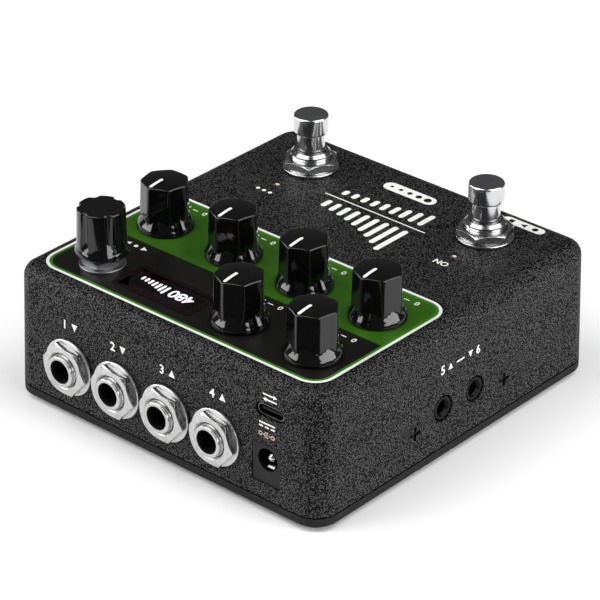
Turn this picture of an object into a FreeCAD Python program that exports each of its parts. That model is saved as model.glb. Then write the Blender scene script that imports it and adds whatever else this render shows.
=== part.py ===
import FreeCAD, Part
import math
import os

# Tape echo pedal: a die-cast case with six dials, a push encoder, a small display,
# two footswitches, four 6.35 mm jacks, two 3.5 mm jacks, a DC inlet and a data socket.
# Millimetres. The origin is the plan centre on the underside of the rubber mat, +Z up,
# +Y towards the big jacks, and the player stands on the -Y side.

# Case
MAT_THICKNESS = 1.5
MAT_INSET = 2.5
CASE_X = 110.0
CASE_Y = 115.0
CASE_CORNER = 7.0
CASE_HEIGHT = 39.0
CASE_DRAFT = 0.028
TOP_ROUND = 4.0
WALL = 2.4
ROOF = 2.5
BASE_EDGE = 3.0
BASE_FLOOR = 1.6
BASE_LAND = 3.6
BASE_ROUND = 0.5
GROOVE_HEIGHT = 0.4
GROOVE_DEPTH = 0.9

# Screws
SCREW_RADIUS = 1.5
SCREW_HEAD_RADIUS = 2.6
SCREW_HEAD_SINK = 1.4
BASE_SCREW_LENGTH = 12.0
CROSS_LENGTH = 4.1
CROSS_WIDTH = 0.95
CROSS_DEPTH = 0.6
BOARD_SCREW_HEAD_HEIGHT = 1.6
BOARD_SCREW_GRIP = 5.0

# Clearances
THREAD_GAP = 0.03
RUN_GAP = 0.05
HOLE_GAP = 0.15
SEAT_GAP = 0.3
SLOT_FLAT = 0.01

# Printed panel and display; margins run from the panel's edges
PANEL_LAND = 0.06
PANEL_CORNER = 6.4
PANEL_FILM = 0.2
WINDOW_FAR_MARGIN = 11.232
WINDOW_WIDTH = 27.8
WINDOW_DEPTH = 12.4
WINDOW_CORNER = 0.8
WINDOW_LENS = 1.0
WINDOW_GAP = 0.1
WINDOW_SHARE = 0.314
GLASS_SIDE_INSET = 0.5
GLASS_END_INSET = 0.45
GLASS_THICKNESS = 1.4
GLASS_TAPE = 0.1
HOLDER_WALL = 1.2

# Dials: margins, the two rows, and the knob
DIAL_SIDE_MARGIN = 12.132
DIAL_FAR_MARGIN = 12.232
DIAL_ROW_PITCH = 25.6
DIAL_NEAR_MARGIN = 16.1
KNOB_LIFT = 0.4
KNOB_SKIRT_RADIUS = 8.0
KNOB_RIM = 0.9
KNOB_NECK_RADIUS = 6.25
KNOB_NECK_HEIGHT = 4.6
KNOB_SIDES = 7
KNOB_LOW_RADIUS = 7.25
KNOB_HIGH_RADIUS = 6.8
KNOB_EDGE_ROUND = 1.5
KNOB_SHOULDER = 13.9
KNOB_CROWN = 0.8
KNOB_TOP_ROUND = 0.4
KNOB_ROOF = 3.0
FLARE_HOLLOW = 0.08

# Dial potentiometers
BUSHING_RADIUS = 3.5
BUSHING_REACH = 2.5
BUSHING_NUT_ACROSS = 10.0
BUSHING_NUT_HEIGHT = 2.0
POT_WIDTH = 9.8
POT_DEPTH = 10.8
POT_HEIGHT = 6.8
POT_SKIN = 0.9
POT_WIPER_RADIUS = 3.9
POT_WIPER_THICKNESS = 1.5
SHAFT_RADIUS = 3.0
SHAFT_NECK_RADIUS = 2.5
SHAFT_FLAT = 1.5
ROOF_PAD = 2.5
ROOF_PAD_RADIUS = 4.9
PIN_RADIUS = 0.5
PIN_LENGTH = 2.6
PIN_PITCH = 2.5

# Push encoder
ENCODER_SIDE_MARGIN = 14.132
ENCODER_FAR_MARGIN = 11.032
ENCODER_WIDTH = 12.4
ENCODER_DEPTH = 13.2
ENCODER_WASHER_RADIUS = 6.4
ENCODER_WASHER = 0.6
ENCODER_ROTOR_RADIUS = 4.9
ENCODER_ROTOR_THICKNESS = 2.0
ENCODER_FLAT = 1.9
PUSH_TRAVEL = 0.5
SELECT_LIFT = 4.0
SELECT_HEIGHT = 13.2
SELECT_LOW_RADIUS = 6.9
SELECT_HIGH_RADIUS = 6.55
SELECT_SKIRT_RADIUS = 7.4
SELECT_NECK_RADIUS = 5.85
SELECT_NECK_HEIGHT = 4.5
SELECT_RIM = 0.8
SELECT_FLUTES = 6
SELECT_FLUTE_RADIUS = 1.6
SELECT_FLUTE_BITE = 0.75
SELECT_TOP_ROUND = 0.5
SELECT_ROOF = 2.2

# Footswitches; margins run from the case walls
SWITCH_SIDE_MARGIN = 23.6
SWITCH_NEAR_MARGIN = 18.8
SWITCH_BUSHING_RADIUS = 5.7
SWITCH_BUSHING_HEIGHT = 6.7
SWITCH_SHOULDER = 0.8
SWITCH_LIP_RADIUS = 4.3
SWITCH_LIP = 0.8
SWITCH_STEM_RADIUS = 3.95
SWITCH_CAP_RADIUS = 5.0
SWITCH_CAP_LOW = 11.2
SWITCH_CAP_HIGH = 16.9
SWITCH_CAP_ROUND = 0.6
SWITCH_CAP_UNDERCUT = 0.8
SWITCH_TRAVEL = 2.5
SWITCH_SEAL_RADIUS = 7.8
SWITCH_SEAL = 0.3
SWITCH_WASHER_RADIUS = 8.0
SWITCH_WASHER = 0.6
SWITCH_NUT_ACROSS = 14.0
SWITCH_NUT_HEIGHT = 2.6
SWITCH_FRAME = 1.2
SWITCH_CASE_X = 17.0
SWITCH_CASE_Y = 17.5
SWITCH_CASE_HEIGHT = 14.5
SWITCH_CASE_FLOOR = 2.2
SWITCH_COLLAR_RADIUS = 4.6
SWITCH_COLLAR = 1.5
SWITCH_GUIDE_RADIUS = 2.4
SWITCH_GUIDE_ROOM = 3.7
SPRING_OUTER_RADIUS = 4.1
SPRING_WIRE = 0.7
SWITCH_NUT_PHASE_LEFT = 50.0
SWITCH_NUT_PHASE_RIGHT = 6.0

# Indicator lights
LIGHT_SIDE_SHIFT = 0.4
LIGHT_SWITCH_GAP = 14.3
LIGHT_RADIUS = 1.2
LIGHT_FLANGE_RADIUS = 2.2
LIGHT_FLANGE = 1.0
LIGHT_SINK = 0.3
LIGHT_CHIP = 1.6
LIGHT_CHIP_HEIGHT = 0.9

# Threads seen on the jacks and the footswitches, and the eased hole of their nuts
THREAD_PITCH = 0.75
THREAD_DEPTH = 0.3
NUT_EASE = 0.6

# 6.35 mm jacks; shares are parts of the width that the sockets leave free between the bosses
JACK_EDGE_SHARE = 0.14
JACK_GAP_SHARE = 0.111
JACK_COUNT = 4
JACK_TOP_ROOM = 3.6
JACK_BORE_RADIUS = 3.3
JACK_BUSHING_RADIUS = 4.75
JACK_BUSHING_REACH = 4.0
JACK_WASHER_RADIUS = 8.25
JACK_WASHER = 0.9
JACK_NUT_ACROSS = 13.7
JACK_NUT_HEIGHT = 2.1
JACK_NUT_PHASE = 50.0
JACK_BODY_WIDTH = 16.5
JACK_BODY_LENGTH = 24.0
JACK_BODY_GAP = 0.5
JACK_CHAMBER_RADIUS = 3.7
JACK_CHAMBER_LENGTH = 22.0
JACK_BLADE_WIDTH = 3.0
JACK_BLADE_LENGTH = 11.0
JACK_BLADE = 0.4

# DC inlet and data socket
DC_EDGE_SHARE = 0.148
DC_HOLE_SHIFT = 0.4
DC_HOLE_LIFT = 7.3
DC_WIDTH = 9.4
DC_HEIGHT = 11.5
DC_LENGTH = 14.0
DC_HOLE_RADIUS = 3.3
DC_HOLE_DEPTH = 9.5
DC_PIN_RADIUS = 1.05
DC_PIN_SINK = 1.0
USB_EDGE_GAP = 1.08
USB_WIDTH = 8.94
USB_HEIGHT = 3.26
USB_LENGTH = 7.3
USB_SKIN = 0.3
USB_TONGUE_WIDTH = 6.7
USB_TONGUE = 0.7
USB_SINK = 0.6
USB_SLOT_WIDTH = 10.0
USB_SLOT_HEIGHT = 3.9

# 3.5 mm side jacks and the side screws
SIDE_JACK_YS = (7.1, -6.25)
SIDE_JACK_Z = 14.5
SIDE_HOLE_RADIUS = 3.85
SIDE_NOSE_RADIUS = 3.2
SIDE_NOSE_SINK = 0.3
SIDE_BORE_RADIUS = 1.8
SIDE_BORE_DEPTH = 11.0
SIDE_MOUTH = 0.7
SIDE_BODY_LENGTH = 9.5
SIDE_BODY_WIDTH = 9.0
SIDE_BODY_HEIGHT = 10.0
SIDE_SCREW_Y = 18.8
SIDE_SCREW_Z = 11.9
SIDE_SCREW_LENGTH = 8.0
SIDE_BOARD_END = 2.8
SIDE_BOARD_TOP_ROOM = 3.8
SIDE_BOARD_LOW_ROOM = 0.4
SPACER_ACROSS = 5.0

# Boards
BOARD = 1.6
MAIN_LIFT = 5.8
BOARD_SIDE_MARGIN = 8.5
BOARD_BOSS_ROOM = 1.75
BOARD_LIGHT_MARGIN = 4.0
MAIN_UNDER_SWITCH = 4.2
TONGUE_GAP = 0.95
STAND_SIDE_MARGIN = 10.5
STAND_NEAR_MARGIN = 3.2
STAND_DIAL_GAP = 11.4
LINK_LENGTH = 12.7
LINK_WIDTH = 2.6
LINK_UNDER_SWITCH = 7.2
LINK_DIAL_GAP = 18.6
SIDE_LINK_HEIGHT = 3.0

# Levels worked out from the sizes above
base_z = MAT_THICKNESS
rim_z = base_z + BASE_EDGE
top_z = base_z + CASE_HEIGHT
roof_z = top_z - ROOF
pad_z = roof_z - ROOF_PAD
control_top = pad_z - POT_HEIGHT
control_z = control_top - BOARD
main_z = base_z + MAIN_LIFT
main_top = main_z + BOARD
jack_top = control_z - JACK_TOP_ROOM
jack_z = (main_top + jack_top) / 2
dc_z = main_top + DC_HOLE_LIFT
side_z = base_z + SIDE_JACK_Z
side_screw_z = base_z + SIDE_SCREW_Z
bushing_top = top_z + BUSHING_REACH
knob_z = top_z + KNOB_LIFT
shaft_top = top_z + KNOB_SHOULDER - KNOB_ROOF
encoder_top = top_z + ENCODER_WASHER + BUSHING_NUT_HEIGHT + SEAT_GAP
select_z = top_z + SELECT_LIFT
switch_frame_z = roof_z - SWITCH_FRAME
switch_case_z = switch_frame_z - SWITCH_CASE_HEIGHT
switch_board_z = switch_case_z - BOARD
switch_collar_z = switch_frame_z - SEAT_GAP - SWITCH_COLLAR
switch_guide_z = switch_case_z + SWITCH_CASE_FLOOR + SWITCH_TRAVEL + SWITCH_GUIDE_ROOM

UP = FreeCAD.Vector(0, 0, 1)
OUT_Y = FreeCAD.Vector(0, 1, 0)
OUT_LEFT = FreeCAD.Vector(-1, 0, 0)
ORIGIN = FreeCAD.Vector(0, 0, 0)


def wall_y(z):
    """Outer face of the +Y wall at height z."""
    return CASE_Y / 2 - CASE_DRAFT * (z - rim_z)


def wall_x(z):
    """Outer face of the +X wall at height z; the -X wall mirrors it."""
    return CASE_X / 2 - CASE_DRAFT * (z - rim_z)


# Places in plan, from the walls inwards
boss_radius = CASE_CORNER - WALL + HOLE_GAP
boss_x = CASE_X / 2 - CASE_CORNER
boss_y = CASE_Y / 2 - CASE_CORNER
boss_edge = boss_x - boss_radius

panel_half_x = wall_x(top_z) - TOP_ROUND - PANEL_LAND
panel_far_y = wall_y(top_z) - TOP_ROUND - PANEL_LAND
dial_far_y = panel_far_y - DIAL_FAR_MARGIN
dial_near_y = dial_far_y - DIAL_ROW_PITCH
panel_near_y = dial_near_y - DIAL_NEAR_MARGIN
outer_dial_x = panel_half_x - DIAL_SIDE_MARGIN
inner_dial_x = outer_dial_x / 3
encoder_x = panel_half_x - ENCODER_SIDE_MARGIN
encoder_y = panel_far_y - ENCODER_FAR_MARGIN

glass_width = WINDOW_WIDTH - 2 * GLASS_SIDE_INSET
glass_depth = WINDOW_DEPTH - 2 * GLASS_END_INSET
window_room = encoder_x - ENCODER_WIDTH / 2 + inner_dial_x - POT_WIDTH / 2
window_right = encoder_x - ENCODER_WIDTH / 2 - WINDOW_SHARE * (window_room - glass_width)
window_x = window_right - glass_width / 2
window_y = panel_far_y - WINDOW_FAR_MARGIN

switch_x = CASE_X / 2 - SWITCH_SIDE_MARGIN
switch_y = SWITCH_NEAR_MARGIN - CASE_Y / 2
light_x = switch_x + LIGHT_SIDE_SHIFT
light_y = switch_y + LIGHT_SWITCH_GAP

wall_spare = 2 * boss_edge - JACK_COUNT * JACK_BODY_WIDTH - DC_WIDTH
jack_first_x = boss_edge - JACK_EDGE_SHARE * wall_spare - JACK_BODY_WIDTH / 2
jack_pitch = JACK_BODY_WIDTH + JACK_GAP_SHARE * wall_spare
jack_face = wall_y(jack_z)
jack_front = wall_y(jack_top) - WALL - JACK_BODY_GAP
jack_mouth = jack_face + JACK_BUSHING_REACH
dc_x = DC_EDGE_SHARE * wall_spare + DC_WIDTH / 2 - boss_edge
dc_hole_x = dc_x - DC_HOLE_SHIFT
usb_x = USB_EDGE_GAP + USB_WIDTH / 2 - boss_edge

side_body_face = wall_x(side_z + SIDE_BODY_HEIGHT / 2) - WALL - SEAT_GAP
side_board_x = side_body_face - SIDE_BODY_LENGTH
side_nose = wall_x(side_z) - SIDE_NOSE_SINK

board_half_x = CASE_X / 2 - BOARD_SIDE_MARGIN
board_wide_y = boss_y - boss_radius - BOARD_BOSS_ROOM
control_near_y = light_y - BOARD_LIGHT_MARGIN
main_near_y = switch_y + MAIN_UNDER_SWITCH
stand_x = board_half_x - STAND_SIDE_MARGIN

SIDES = (-1, 1)
DIALS = {
    "time": (-outer_dial_x, dial_near_y),
    "repeat": (-inner_dial_x, dial_near_y),
    "level": (inner_dial_x, dial_near_y),
    "reverb": (outer_dial_x, dial_near_y),
    "bass": (-outer_dial_x, dial_far_y),
    "treble": (-inner_dial_x, dial_far_y),
}
SWITCHES = {"left": -switch_x, "right": switch_x}
JACK_XS = [jack_first_x - jack_pitch * i for i in range(JACK_COUNT)]
BOSSES = [(sx * boss_x, sy * boss_y) for sx in SIDES for sy in SIDES]
STAND_YS = (control_near_y + STAND_NEAR_MARGIN, dial_near_y + STAND_DIAL_GAP)
STANDS = [(sx * stand_x, y) for sx in SIDES for y in STAND_YS]


# Shapes used by several pieces

def place(shape, at, axis=UP, turn=0.0):
    """Copy of a shape made along +Z at the origin, turned about itself and set along axis."""
    spin = FreeCAD.Rotation(UP, turn)
    moved = shape.copy()
    moved.Placement = FreeCAD.Placement(FreeCAD.Vector(*at), FreeCAD.Rotation(UP, axis).multiply(spin))
    return moved


def outline(half_x, half_y, radius, z, centre=(0.0, 0.0)):
    """Closed wire of a rectangle with round corners, at height z."""
    arcs = []
    for sx, sy, turn in ((1, 1, 0), (-1, 1, 90), (-1, -1, 180), (1, -1, 270)):
        hub = FreeCAD.Vector(centre[0] + sx * (half_x - radius), centre[1] + sy * (half_y - radius), z)
        arcs.append(Part.makeCircle(radius, hub, UP, turn, turn + 90))
    edges = []
    for arc, following in zip(arcs, arcs[1:] + arcs[:1]):
        end = arc.valueAt(arc.LastParameter)
        start = following.valueAt(following.FirstParameter)
        edges += [arc, Part.makeLine(end, start)]
    return Part.Wire(edges)


def slab(half_x, half_y, radius, low, high, centre=(0.0, 0.0)):
    """Plate with round corners between two heights."""
    face = Part.Face(outline(half_x, half_y, radius, low, centre))
    return face.extrude(FreeCAD.Vector(0, 0, high - low))


def block(x0, x1, y0, y1, z0, z1):
    """Box between its two corners."""
    return Part.makeBox(x1 - x0, y1 - y0, z1 - z0, FreeCAD.Vector(x0, y0, z0))


def rod(radius, x, y, low, high):
    """Upright cylinder."""
    return Part.makeCylinder(radius, high - low, FreeCAD.Vector(x, y, low))


def bar(radius, at, axis, length):
    """Cylinder from a point along an axis."""
    return Part.makeCylinder(radius, length, FreeCAD.Vector(*at), axis)


def turned(profile):
    """Solid of revolution about +Z from (radius, height) points."""
    points = [FreeCAD.Vector(radius, 0, height) for radius, height in profile]
    face = Part.Face(Part.makePolygon(points + points[:1]))
    return face.revolve(ORIGIN, UP, 360)


def polygon(count, radius, z, phase=0.0):
    """Closed wire of a regular polygon."""
    points = []
    for i in range(count):
        angle = math.radians(phase + 360.0 * i / count)
        points.append(FreeCAD.Vector(radius * math.cos(angle), radius * math.sin(angle), z))
    return Part.makePolygon(points + points[:1])


def nut(across, height, hole_radius):
    """Hexagon nut, with its corners chamfered and its hole eased on both faces."""
    corner = across / math.sqrt(3)
    flat = across / 2
    drop = (corner - flat) * math.tan(math.radians(30))
    body = Part.Face(polygon(6, corner, 0)).extrude(FreeCAD.Vector(0, 0, height))
    profile = [(0, 0), (flat, 0), (corner, drop), (corner, height - drop), (flat, height), (0, height)]
    wide = hole_radius + NUT_EASE
    hole = turned([(0, 0), (wide, 0), (hole_radius, NUT_EASE), (hole_radius, height - NUT_EASE), (wide, height),
                   (0, height)])
    return body.common(turned(profile)).cut(hole)


def washer(inner, outer, thickness):
    """Flat ring with a broken outer edge."""
    edge = thickness / 5
    return turned([(inner, 0), (outer, 0), (outer, thickness - edge), (outer - edge, thickness),
                   (inner, thickness)])


def spacer(across, length, hole_radius):
    """Hexagon spacer with a threaded hole right through."""
    body = Part.Face(polygon(6, across / math.sqrt(3), 0)).extrude(FreeCAD.Vector(0, 0, length))
    return body.cut(Part.makeCylinder(hole_radius, length))


def thread_profile(major, start, end):
    """Outer (radius, height) points of a thread drawn as rings."""
    points = []
    count = max(1, int((end - start) / THREAD_PITCH))
    for i in range(count):
        low = start + i * THREAD_PITCH
        points.append((major - THREAD_DEPTH, low))
        points.append((major, low + THREAD_PITCH / 2))
    points.append((major - THREAD_DEPTH, start + count * THREAD_PITCH))
    return points


def countersunk_screw(length):
    """Screw with a flat cross-recess head on the origin plane and its shank along +Z."""
    sink = SCREW_HEAD_SINK
    body = turned([(0, 0), (SCREW_HEAD_RADIUS, 0), (SCREW_RADIUS, sink), (SCREW_RADIUS, length), (0, length)])
    half = CROSS_LENGTH / 2
    wide = CROSS_WIDTH / 2
    for cut in (block(-half, half, -wide, wide, 0, CROSS_DEPTH), block(-wide, wide, -half, half, 0, CROSS_DEPTH)):
        body = body.cut(cut)
    return body


def countersink(gap):
    """Room for a countersunk head and its shank, with the head on the origin plane."""
    sink = SCREW_HEAD_SINK
    head = SCREW_HEAD_RADIUS + gap
    shank = SCREW_RADIUS + gap
    deep = WALL + BASE_FLOOR + sink
    return turned([(0, -sink), (head, -sink), (head, 0), (shank, sink), (shank, deep), (0, deep)])


def d_rod(radius, flat, low, high):
    """Upright rod with one flat; flat is the distance from the axis to the flat."""
    full = Part.makeCylinder(radius, high - low, FreeCAD.Vector(0, 0, low))
    return full.cut(block(-radius, radius, flat, radius, low, high))


def pins(x, y, y_offset, radius, count=3):
    """Row of solder pins below the origin of a component on a board."""
    row = []
    for i in range(count):
        offset = (i - (count - 1) / 2) * PIN_PITCH
        row.append(Part.makeCylinder(radius, PIN_LENGTH, FreeCAD.Vector(x + offset, y + y_offset, -PIN_LENGTH)))
    return row


def save(name, solids):
    """Write one node; a node may be a group of separate solids."""
    solids = [piece for solid in solids for piece in solid.Solids]
    for solid in solids:
        if not solid.isValid() or solid.Volume <= 0:
            raise ValueError(name + " is not a valid solid")
    shape = solids[0] if len(solids) == 1 else Part.makeCompound(solids)
    shape.exportStep("parts/" + name + ".step")


# Case

def case_block(inset, low, high):
    """Drafted block with the outline of the case, moved in by inset."""
    wires = []
    for z in (low, high):
        back = inset + CASE_DRAFT * (z - rim_z)
        wires.append(outline(CASE_X / 2 - back, CASE_Y / 2 - back, CASE_CORNER - back, z))
    return Part.makeLoft(wires, True, True)


def enclosure_shell():
    """Die-cast shell: drafted walls, roof, screw bosses and every opening."""
    outer = case_block(0, rim_z, top_z)
    rim = [edge for edge in outer.Edges if edge.BoundBox.ZMin > top_z - TOP_ROUND]
    outer = outer.makeFillet(TOP_ROUND, rim)
    shell = outer.cut(case_block(WALL, rim_z, roof_z))
    for x, y in BOSSES:
        shell = shell.fuse(rod(boss_radius, x, y, rim_z, roof_z))
    for x, y in list(DIALS.values()) + [(encoder_x, encoder_y)]:
        shell = shell.fuse(rod(ROOF_PAD_RADIUS, x, y, pad_z, roof_z))
    holes = roof_holes() + jack_wall_holes() + side_wall_holes()
    for x, y in BOSSES:
        holes.append(rod(SCREW_RADIUS + THREAD_GAP, x, y, rim_z, base_z + BASE_SCREW_LENGTH + SEAT_GAP))
    shell = shell.cut(holes)
    return shell.removeSplitter()


def panel_centre():
    """Centre and half depth of the printed panel."""
    return (0.0, (panel_near_y + panel_far_y) / 2), (panel_far_y - panel_near_y) / 2


def roof_holes():
    """Openings through the roof, and the shallow pocket for the printed panel."""
    holes = []
    for x, y in list(DIALS.values()) + [(encoder_x, encoder_y)]:
        holes.append(rod(BUSHING_RADIUS + HOLE_GAP, x, y, pad_z, top_z))
    for x in SWITCHES.values():
        holes.append(rod(SWITCH_BUSHING_RADIUS + HOLE_GAP, x, switch_y, roof_z, top_z))
    for side in SIDES:
        holes.append(rod(LIGHT_RADIUS + RUN_GAP, side * light_x, light_y, roof_z, top_z))
    centre, half_depth = panel_centre()
    holes.append(slab(panel_half_x + RUN_GAP, half_depth + RUN_GAP, PANEL_CORNER + RUN_GAP,
                      top_z - PANEL_FILM, top_z + PANEL_FILM, centre))
    holes.append(window_slab(WINDOW_GAP, roof_z, top_z))
    return holes


def window_slab(gap, low, high):
    """Outline of the display window, grown by gap, between two heights."""
    return slab(WINDOW_WIDTH / 2 + gap, WINDOW_DEPTH / 2 + gap, WINDOW_CORNER + gap, low, high,
                (window_x, window_y))


def jack_wall_holes():
    """Openings in the +Y wall, with a spot face under each jack washer."""
    holes = []
    inside = CASE_Y / 2 - 2 * WALL - CASE_DRAFT * CASE_HEIGHT
    reach = CASE_Y / 2 - inside
    for x in JACK_XS:
        holes.append(bar(JACK_BUSHING_RADIUS + HOLE_GAP, (x, inside, jack_z), OUT_Y, reach))
        holes.append(bar(JACK_WASHER_RADIUS + HOLE_GAP, (x, jack_face, jack_z), OUT_Y, reach))
    holes.append(block(dc_x - DC_WIDTH / 2 - HOLE_GAP, dc_x + DC_WIDTH / 2 + HOLE_GAP, inside, CASE_Y / 2,
                       main_top - HOLE_GAP, main_top + DC_HEIGHT + HOLE_GAP))
    slot = slab(USB_SLOT_WIDTH / 2, USB_SLOT_HEIGHT / 2, USB_SLOT_HEIGHT / 2 - SLOT_FLAT, 0, reach)
    holes.append(place(slot, (usb_x, CASE_Y / 2, control_top + USB_HEIGHT / 2), FreeCAD.Vector(0, -1, 0)))
    return holes


def side_wall_holes():
    """Openings in the -X wall for the small jacks and the side screws."""
    holes = []
    inside = -(CASE_X / 2 - 2 * WALL)
    for y in SIDE_JACK_YS:
        holes.append(bar(SIDE_HOLE_RADIUS, (inside, y, side_z), OUT_LEFT, 2 * WALL))
    for side in SIDES:
        at = (-wall_x(side_screw_z), side * SIDE_SCREW_Y, side_screw_z)
        holes.append(place(countersink(HOLE_GAP), at, FreeCAD.Vector(1, 0, 0)))
    return holes


def base_plate():
    """Base plate whose edge shows as the strip below the shell, with a groove between them."""
    plate = slab(CASE_X / 2, CASE_Y / 2, CASE_CORNER, base_z, rim_z)
    low = [edge for edge in plate.Edges if edge.BoundBox.ZMax < base_z + BASE_ROUND]
    plate = plate.makeFillet(BASE_ROUND, low)
    pocket = slab(CASE_X / 2 - BASE_LAND, CASE_Y / 2 - BASE_LAND, CASE_CORNER - BASE_LAND,
                  base_z + BASE_FLOOR, rim_z)
    for x, y in BOSSES:
        pocket = pocket.cut(rod(boss_radius, x, y, base_z, rim_z))
    groove = slab(CASE_X / 2, CASE_Y / 2, CASE_CORNER, rim_z - GROOVE_HEIGHT, rim_z)
    back = GROOVE_DEPTH
    groove = groove.cut(slab(CASE_X / 2 - back, CASE_Y / 2 - back, CASE_CORNER - back,
                             rim_z - GROOVE_HEIGHT, rim_z))
    plate = plate.cut([pocket, groove])
    return plate.cut([place(countersink(HOLE_GAP), (x, y, base_z)) for x, y in BOSSES])


def rubber_mat():
    """One rubber sheet bonded under the base plate, with a hole at each screw."""
    inset = MAT_INSET
    mat = slab(CASE_X / 2 - inset, CASE_Y / 2 - inset, CASE_CORNER - inset, 0, MAT_THICKNESS)
    return mat.cut([rod(SCREW_HEAD_RADIUS + SEAT_GAP, x, y, 0, MAT_THICKNESS) for x, y in BOSSES])


def base_screws():
    """Four countersunk screws from below into the corner bosses."""
    return [place(countersunk_screw(BASE_SCREW_LENGTH), (x, y, base_z)) for x, y in BOSSES]


def panel_overlay():
    """Printed film that carries the dial zones, its border and its scales."""
    centre, half_depth = panel_centre()
    film = slab(panel_half_x, half_depth, PANEL_CORNER, top_z - PANEL_FILM, top_z, centre)
    holes = [window_slab(WINDOW_GAP, roof_z, top_z)]
    for x, y in list(DIALS.values()) + [(encoder_x, encoder_y)]:
        holes.append(rod(BUSHING_RADIUS + HOLE_GAP, x, y, roof_z, top_z))
    return film.cut(holes)


# Display

def display_window():
    """Dark clear window, flush with the panel."""
    return window_slab(0, top_z - WINDOW_LENS, top_z)


def display_module():
    """Display glass on a holder that stands on the control board."""
    glass_top = top_z - WINDOW_LENS - GLASS_TAPE
    glass_low = glass_top - GLASS_THICKNESS
    left = window_x - glass_width / 2
    near = window_y - glass_depth / 2
    glass = block(left, left + glass_width, near, near + glass_depth, glass_low, glass_top)
    holder = block(left, left + glass_width, near, near + glass_depth, control_top, glass_low)
    hollow = block(left + HOLDER_WALL, left + glass_width - HOLDER_WALL, near + HOLDER_WALL,
                   near + glass_depth - HOLDER_WALL, control_top, glass_low)
    return [glass, holder.cut(hollow)]


# Dials

def pot_body(x, y):
    """Potentiometer: housing on the control board, threaded bushing through the roof, pins."""
    body = block(-POT_WIDTH / 2, POT_WIDTH / 2, -POT_DEPTH / 2, POT_DEPTH / 2, 0, POT_HEIGHT)
    body = body.fuse(rod(BUSHING_RADIUS, 0, 0, POT_HEIGHT, bushing_top - control_top))
    chamber = rod(POT_WIPER_RADIUS + SEAT_GAP, 0, 0, POT_SKIN, POT_HEIGHT - 2 * POT_SKIN)
    bore = rod(SHAFT_NECK_RADIUS + RUN_GAP, 0, 0, POT_SKIN, bushing_top - control_top)
    body = body.cut([chamber, bore])
    body = body.fuse(pins(0, 0, PIN_RADIUS * 2 - POT_DEPTH / 2, PIN_RADIUS))
    return place(body, (x, y, control_top))


def pot_shaft(x, y):
    """Dial shaft: wiper disc in the housing, neck in the bushing, flatted end in the knob."""
    disc_low = control_top + POT_SKIN + SEAT_GAP
    disc_high = disc_low + POT_WIPER_THICKNESS
    head_low = bushing_top + SEAT_GAP
    shaft = rod(POT_WIPER_RADIUS, 0, 0, disc_low, disc_high)
    shaft = shaft.fuse(rod(SHAFT_NECK_RADIUS, 0, 0, disc_high, head_low))
    shaft = shaft.fuse(d_rod(SHAFT_RADIUS, SHAFT_FLAT, head_low, shaft_top))
    return place(shaft, (x, y, 0))


def bushing_nuts():
    """Seven equal nuts: six dials and the encoder, which has a washer below its nut."""
    shape = nut(BUSHING_NUT_ACROSS, BUSHING_NUT_HEIGHT, BUSHING_RADIUS + THREAD_GAP)
    nuts = [place(shape, (x, y, top_z)) for x, y in DIALS.values()]
    return nuts + [place(shape, (encoder_x, encoder_y, top_z + ENCODER_WASHER))]


def flare(skirt_radius, neck_radius, rim, neck_height):
    """Turned skirt whose side closes in, a little hollow, from the rim to the body of a knob."""
    start = FreeCAD.Vector(skirt_radius, 0, rim)
    end = FreeCAD.Vector(neck_radius, 0, neck_height)
    middle = (start + end) / 2 - FreeCAD.Vector(FLARE_HOLLOW, 0, FLARE_HOLLOW / 2)
    foot = FreeCAD.Vector(skirt_radius, 0, 0)
    top = FreeCAD.Vector(0, 0, neck_height)
    edges = [Part.makeLine(ORIGIN, foot), Part.makeLine(foot, start), Part.Arc(start, middle, end).toShape(),
             Part.makeLine(end, top), Part.makeLine(top, ORIGIN)]
    return Part.Face(Part.Wire(edges)).revolve(ORIGIN, UP, 360)


def crown(radius, shoulder, rise):
    """Cylinder with a domed top, used to trim the top of a knob."""
    start = FreeCAD.Vector(radius, 0, shoulder)
    top = FreeCAD.Vector(0, 0, shoulder + rise)
    ball = (radius ** 2 + rise ** 2) / (2 * rise)
    half = math.asin(radius / ball) / 2
    middle = FreeCAD.Vector(ball * math.sin(half), 0, shoulder + rise - ball * (1 - math.cos(half)))
    foot = FreeCAD.Vector(radius, 0, 0)
    edges = [Part.makeLine(ORIGIN, foot), Part.makeLine(foot, start), Part.Arc(start, middle, top).toShape(),
             Part.makeLine(top, ORIGIN)]
    return Part.Face(Part.Wire(edges)).revolve(ORIGIN, UP, 360)


def dial_knob():
    """Seven-sided knob with a round flared skirt, a soft crown and a hollow for the nut."""
    shoulder = KNOB_SHOULDER - KNOB_LIFT
    high = shoulder + 2 * KNOB_CROWN
    body = Part.makeLoft([polygon(KNOB_SIDES, KNOB_LOW_RADIUS, 0, 90),
                          polygon(KNOB_SIDES, KNOB_HIGH_RADIUS, high, 90)], True, True)
    sides = [edge for edge in body.Edges if abs(edge.Vertexes[0].Z - edge.Vertexes[1].Z) > high / 2]
    body = body.makeFillet(KNOB_EDGE_ROUND, sides)
    body = body.common(crown(KNOB_LOW_RADIUS, shoulder, KNOB_CROWN))
    body = body.makeFillet(KNOB_TOP_ROUND, [edge for edge in body.Edges if edge.BoundBox.ZMin > shoulder / 2])
    body = body.fuse(flare(KNOB_SKIRT_RADIUS, KNOB_NECK_RADIUS, KNOB_RIM, KNOB_NECK_HEIGHT))
    nut_room = BUSHING_NUT_ACROSS / math.sqrt(3) + SEAT_GAP
    hollow = rod(nut_room, 0, 0, 0, bushing_top + SEAT_GAP - knob_z)
    bore = d_rod(SHAFT_RADIUS + THREAD_GAP, SHAFT_FLAT + THREAD_GAP, 0, shaft_top + SEAT_GAP - knob_z)
    return body.cut([hollow, bore])


# Encoder

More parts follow.
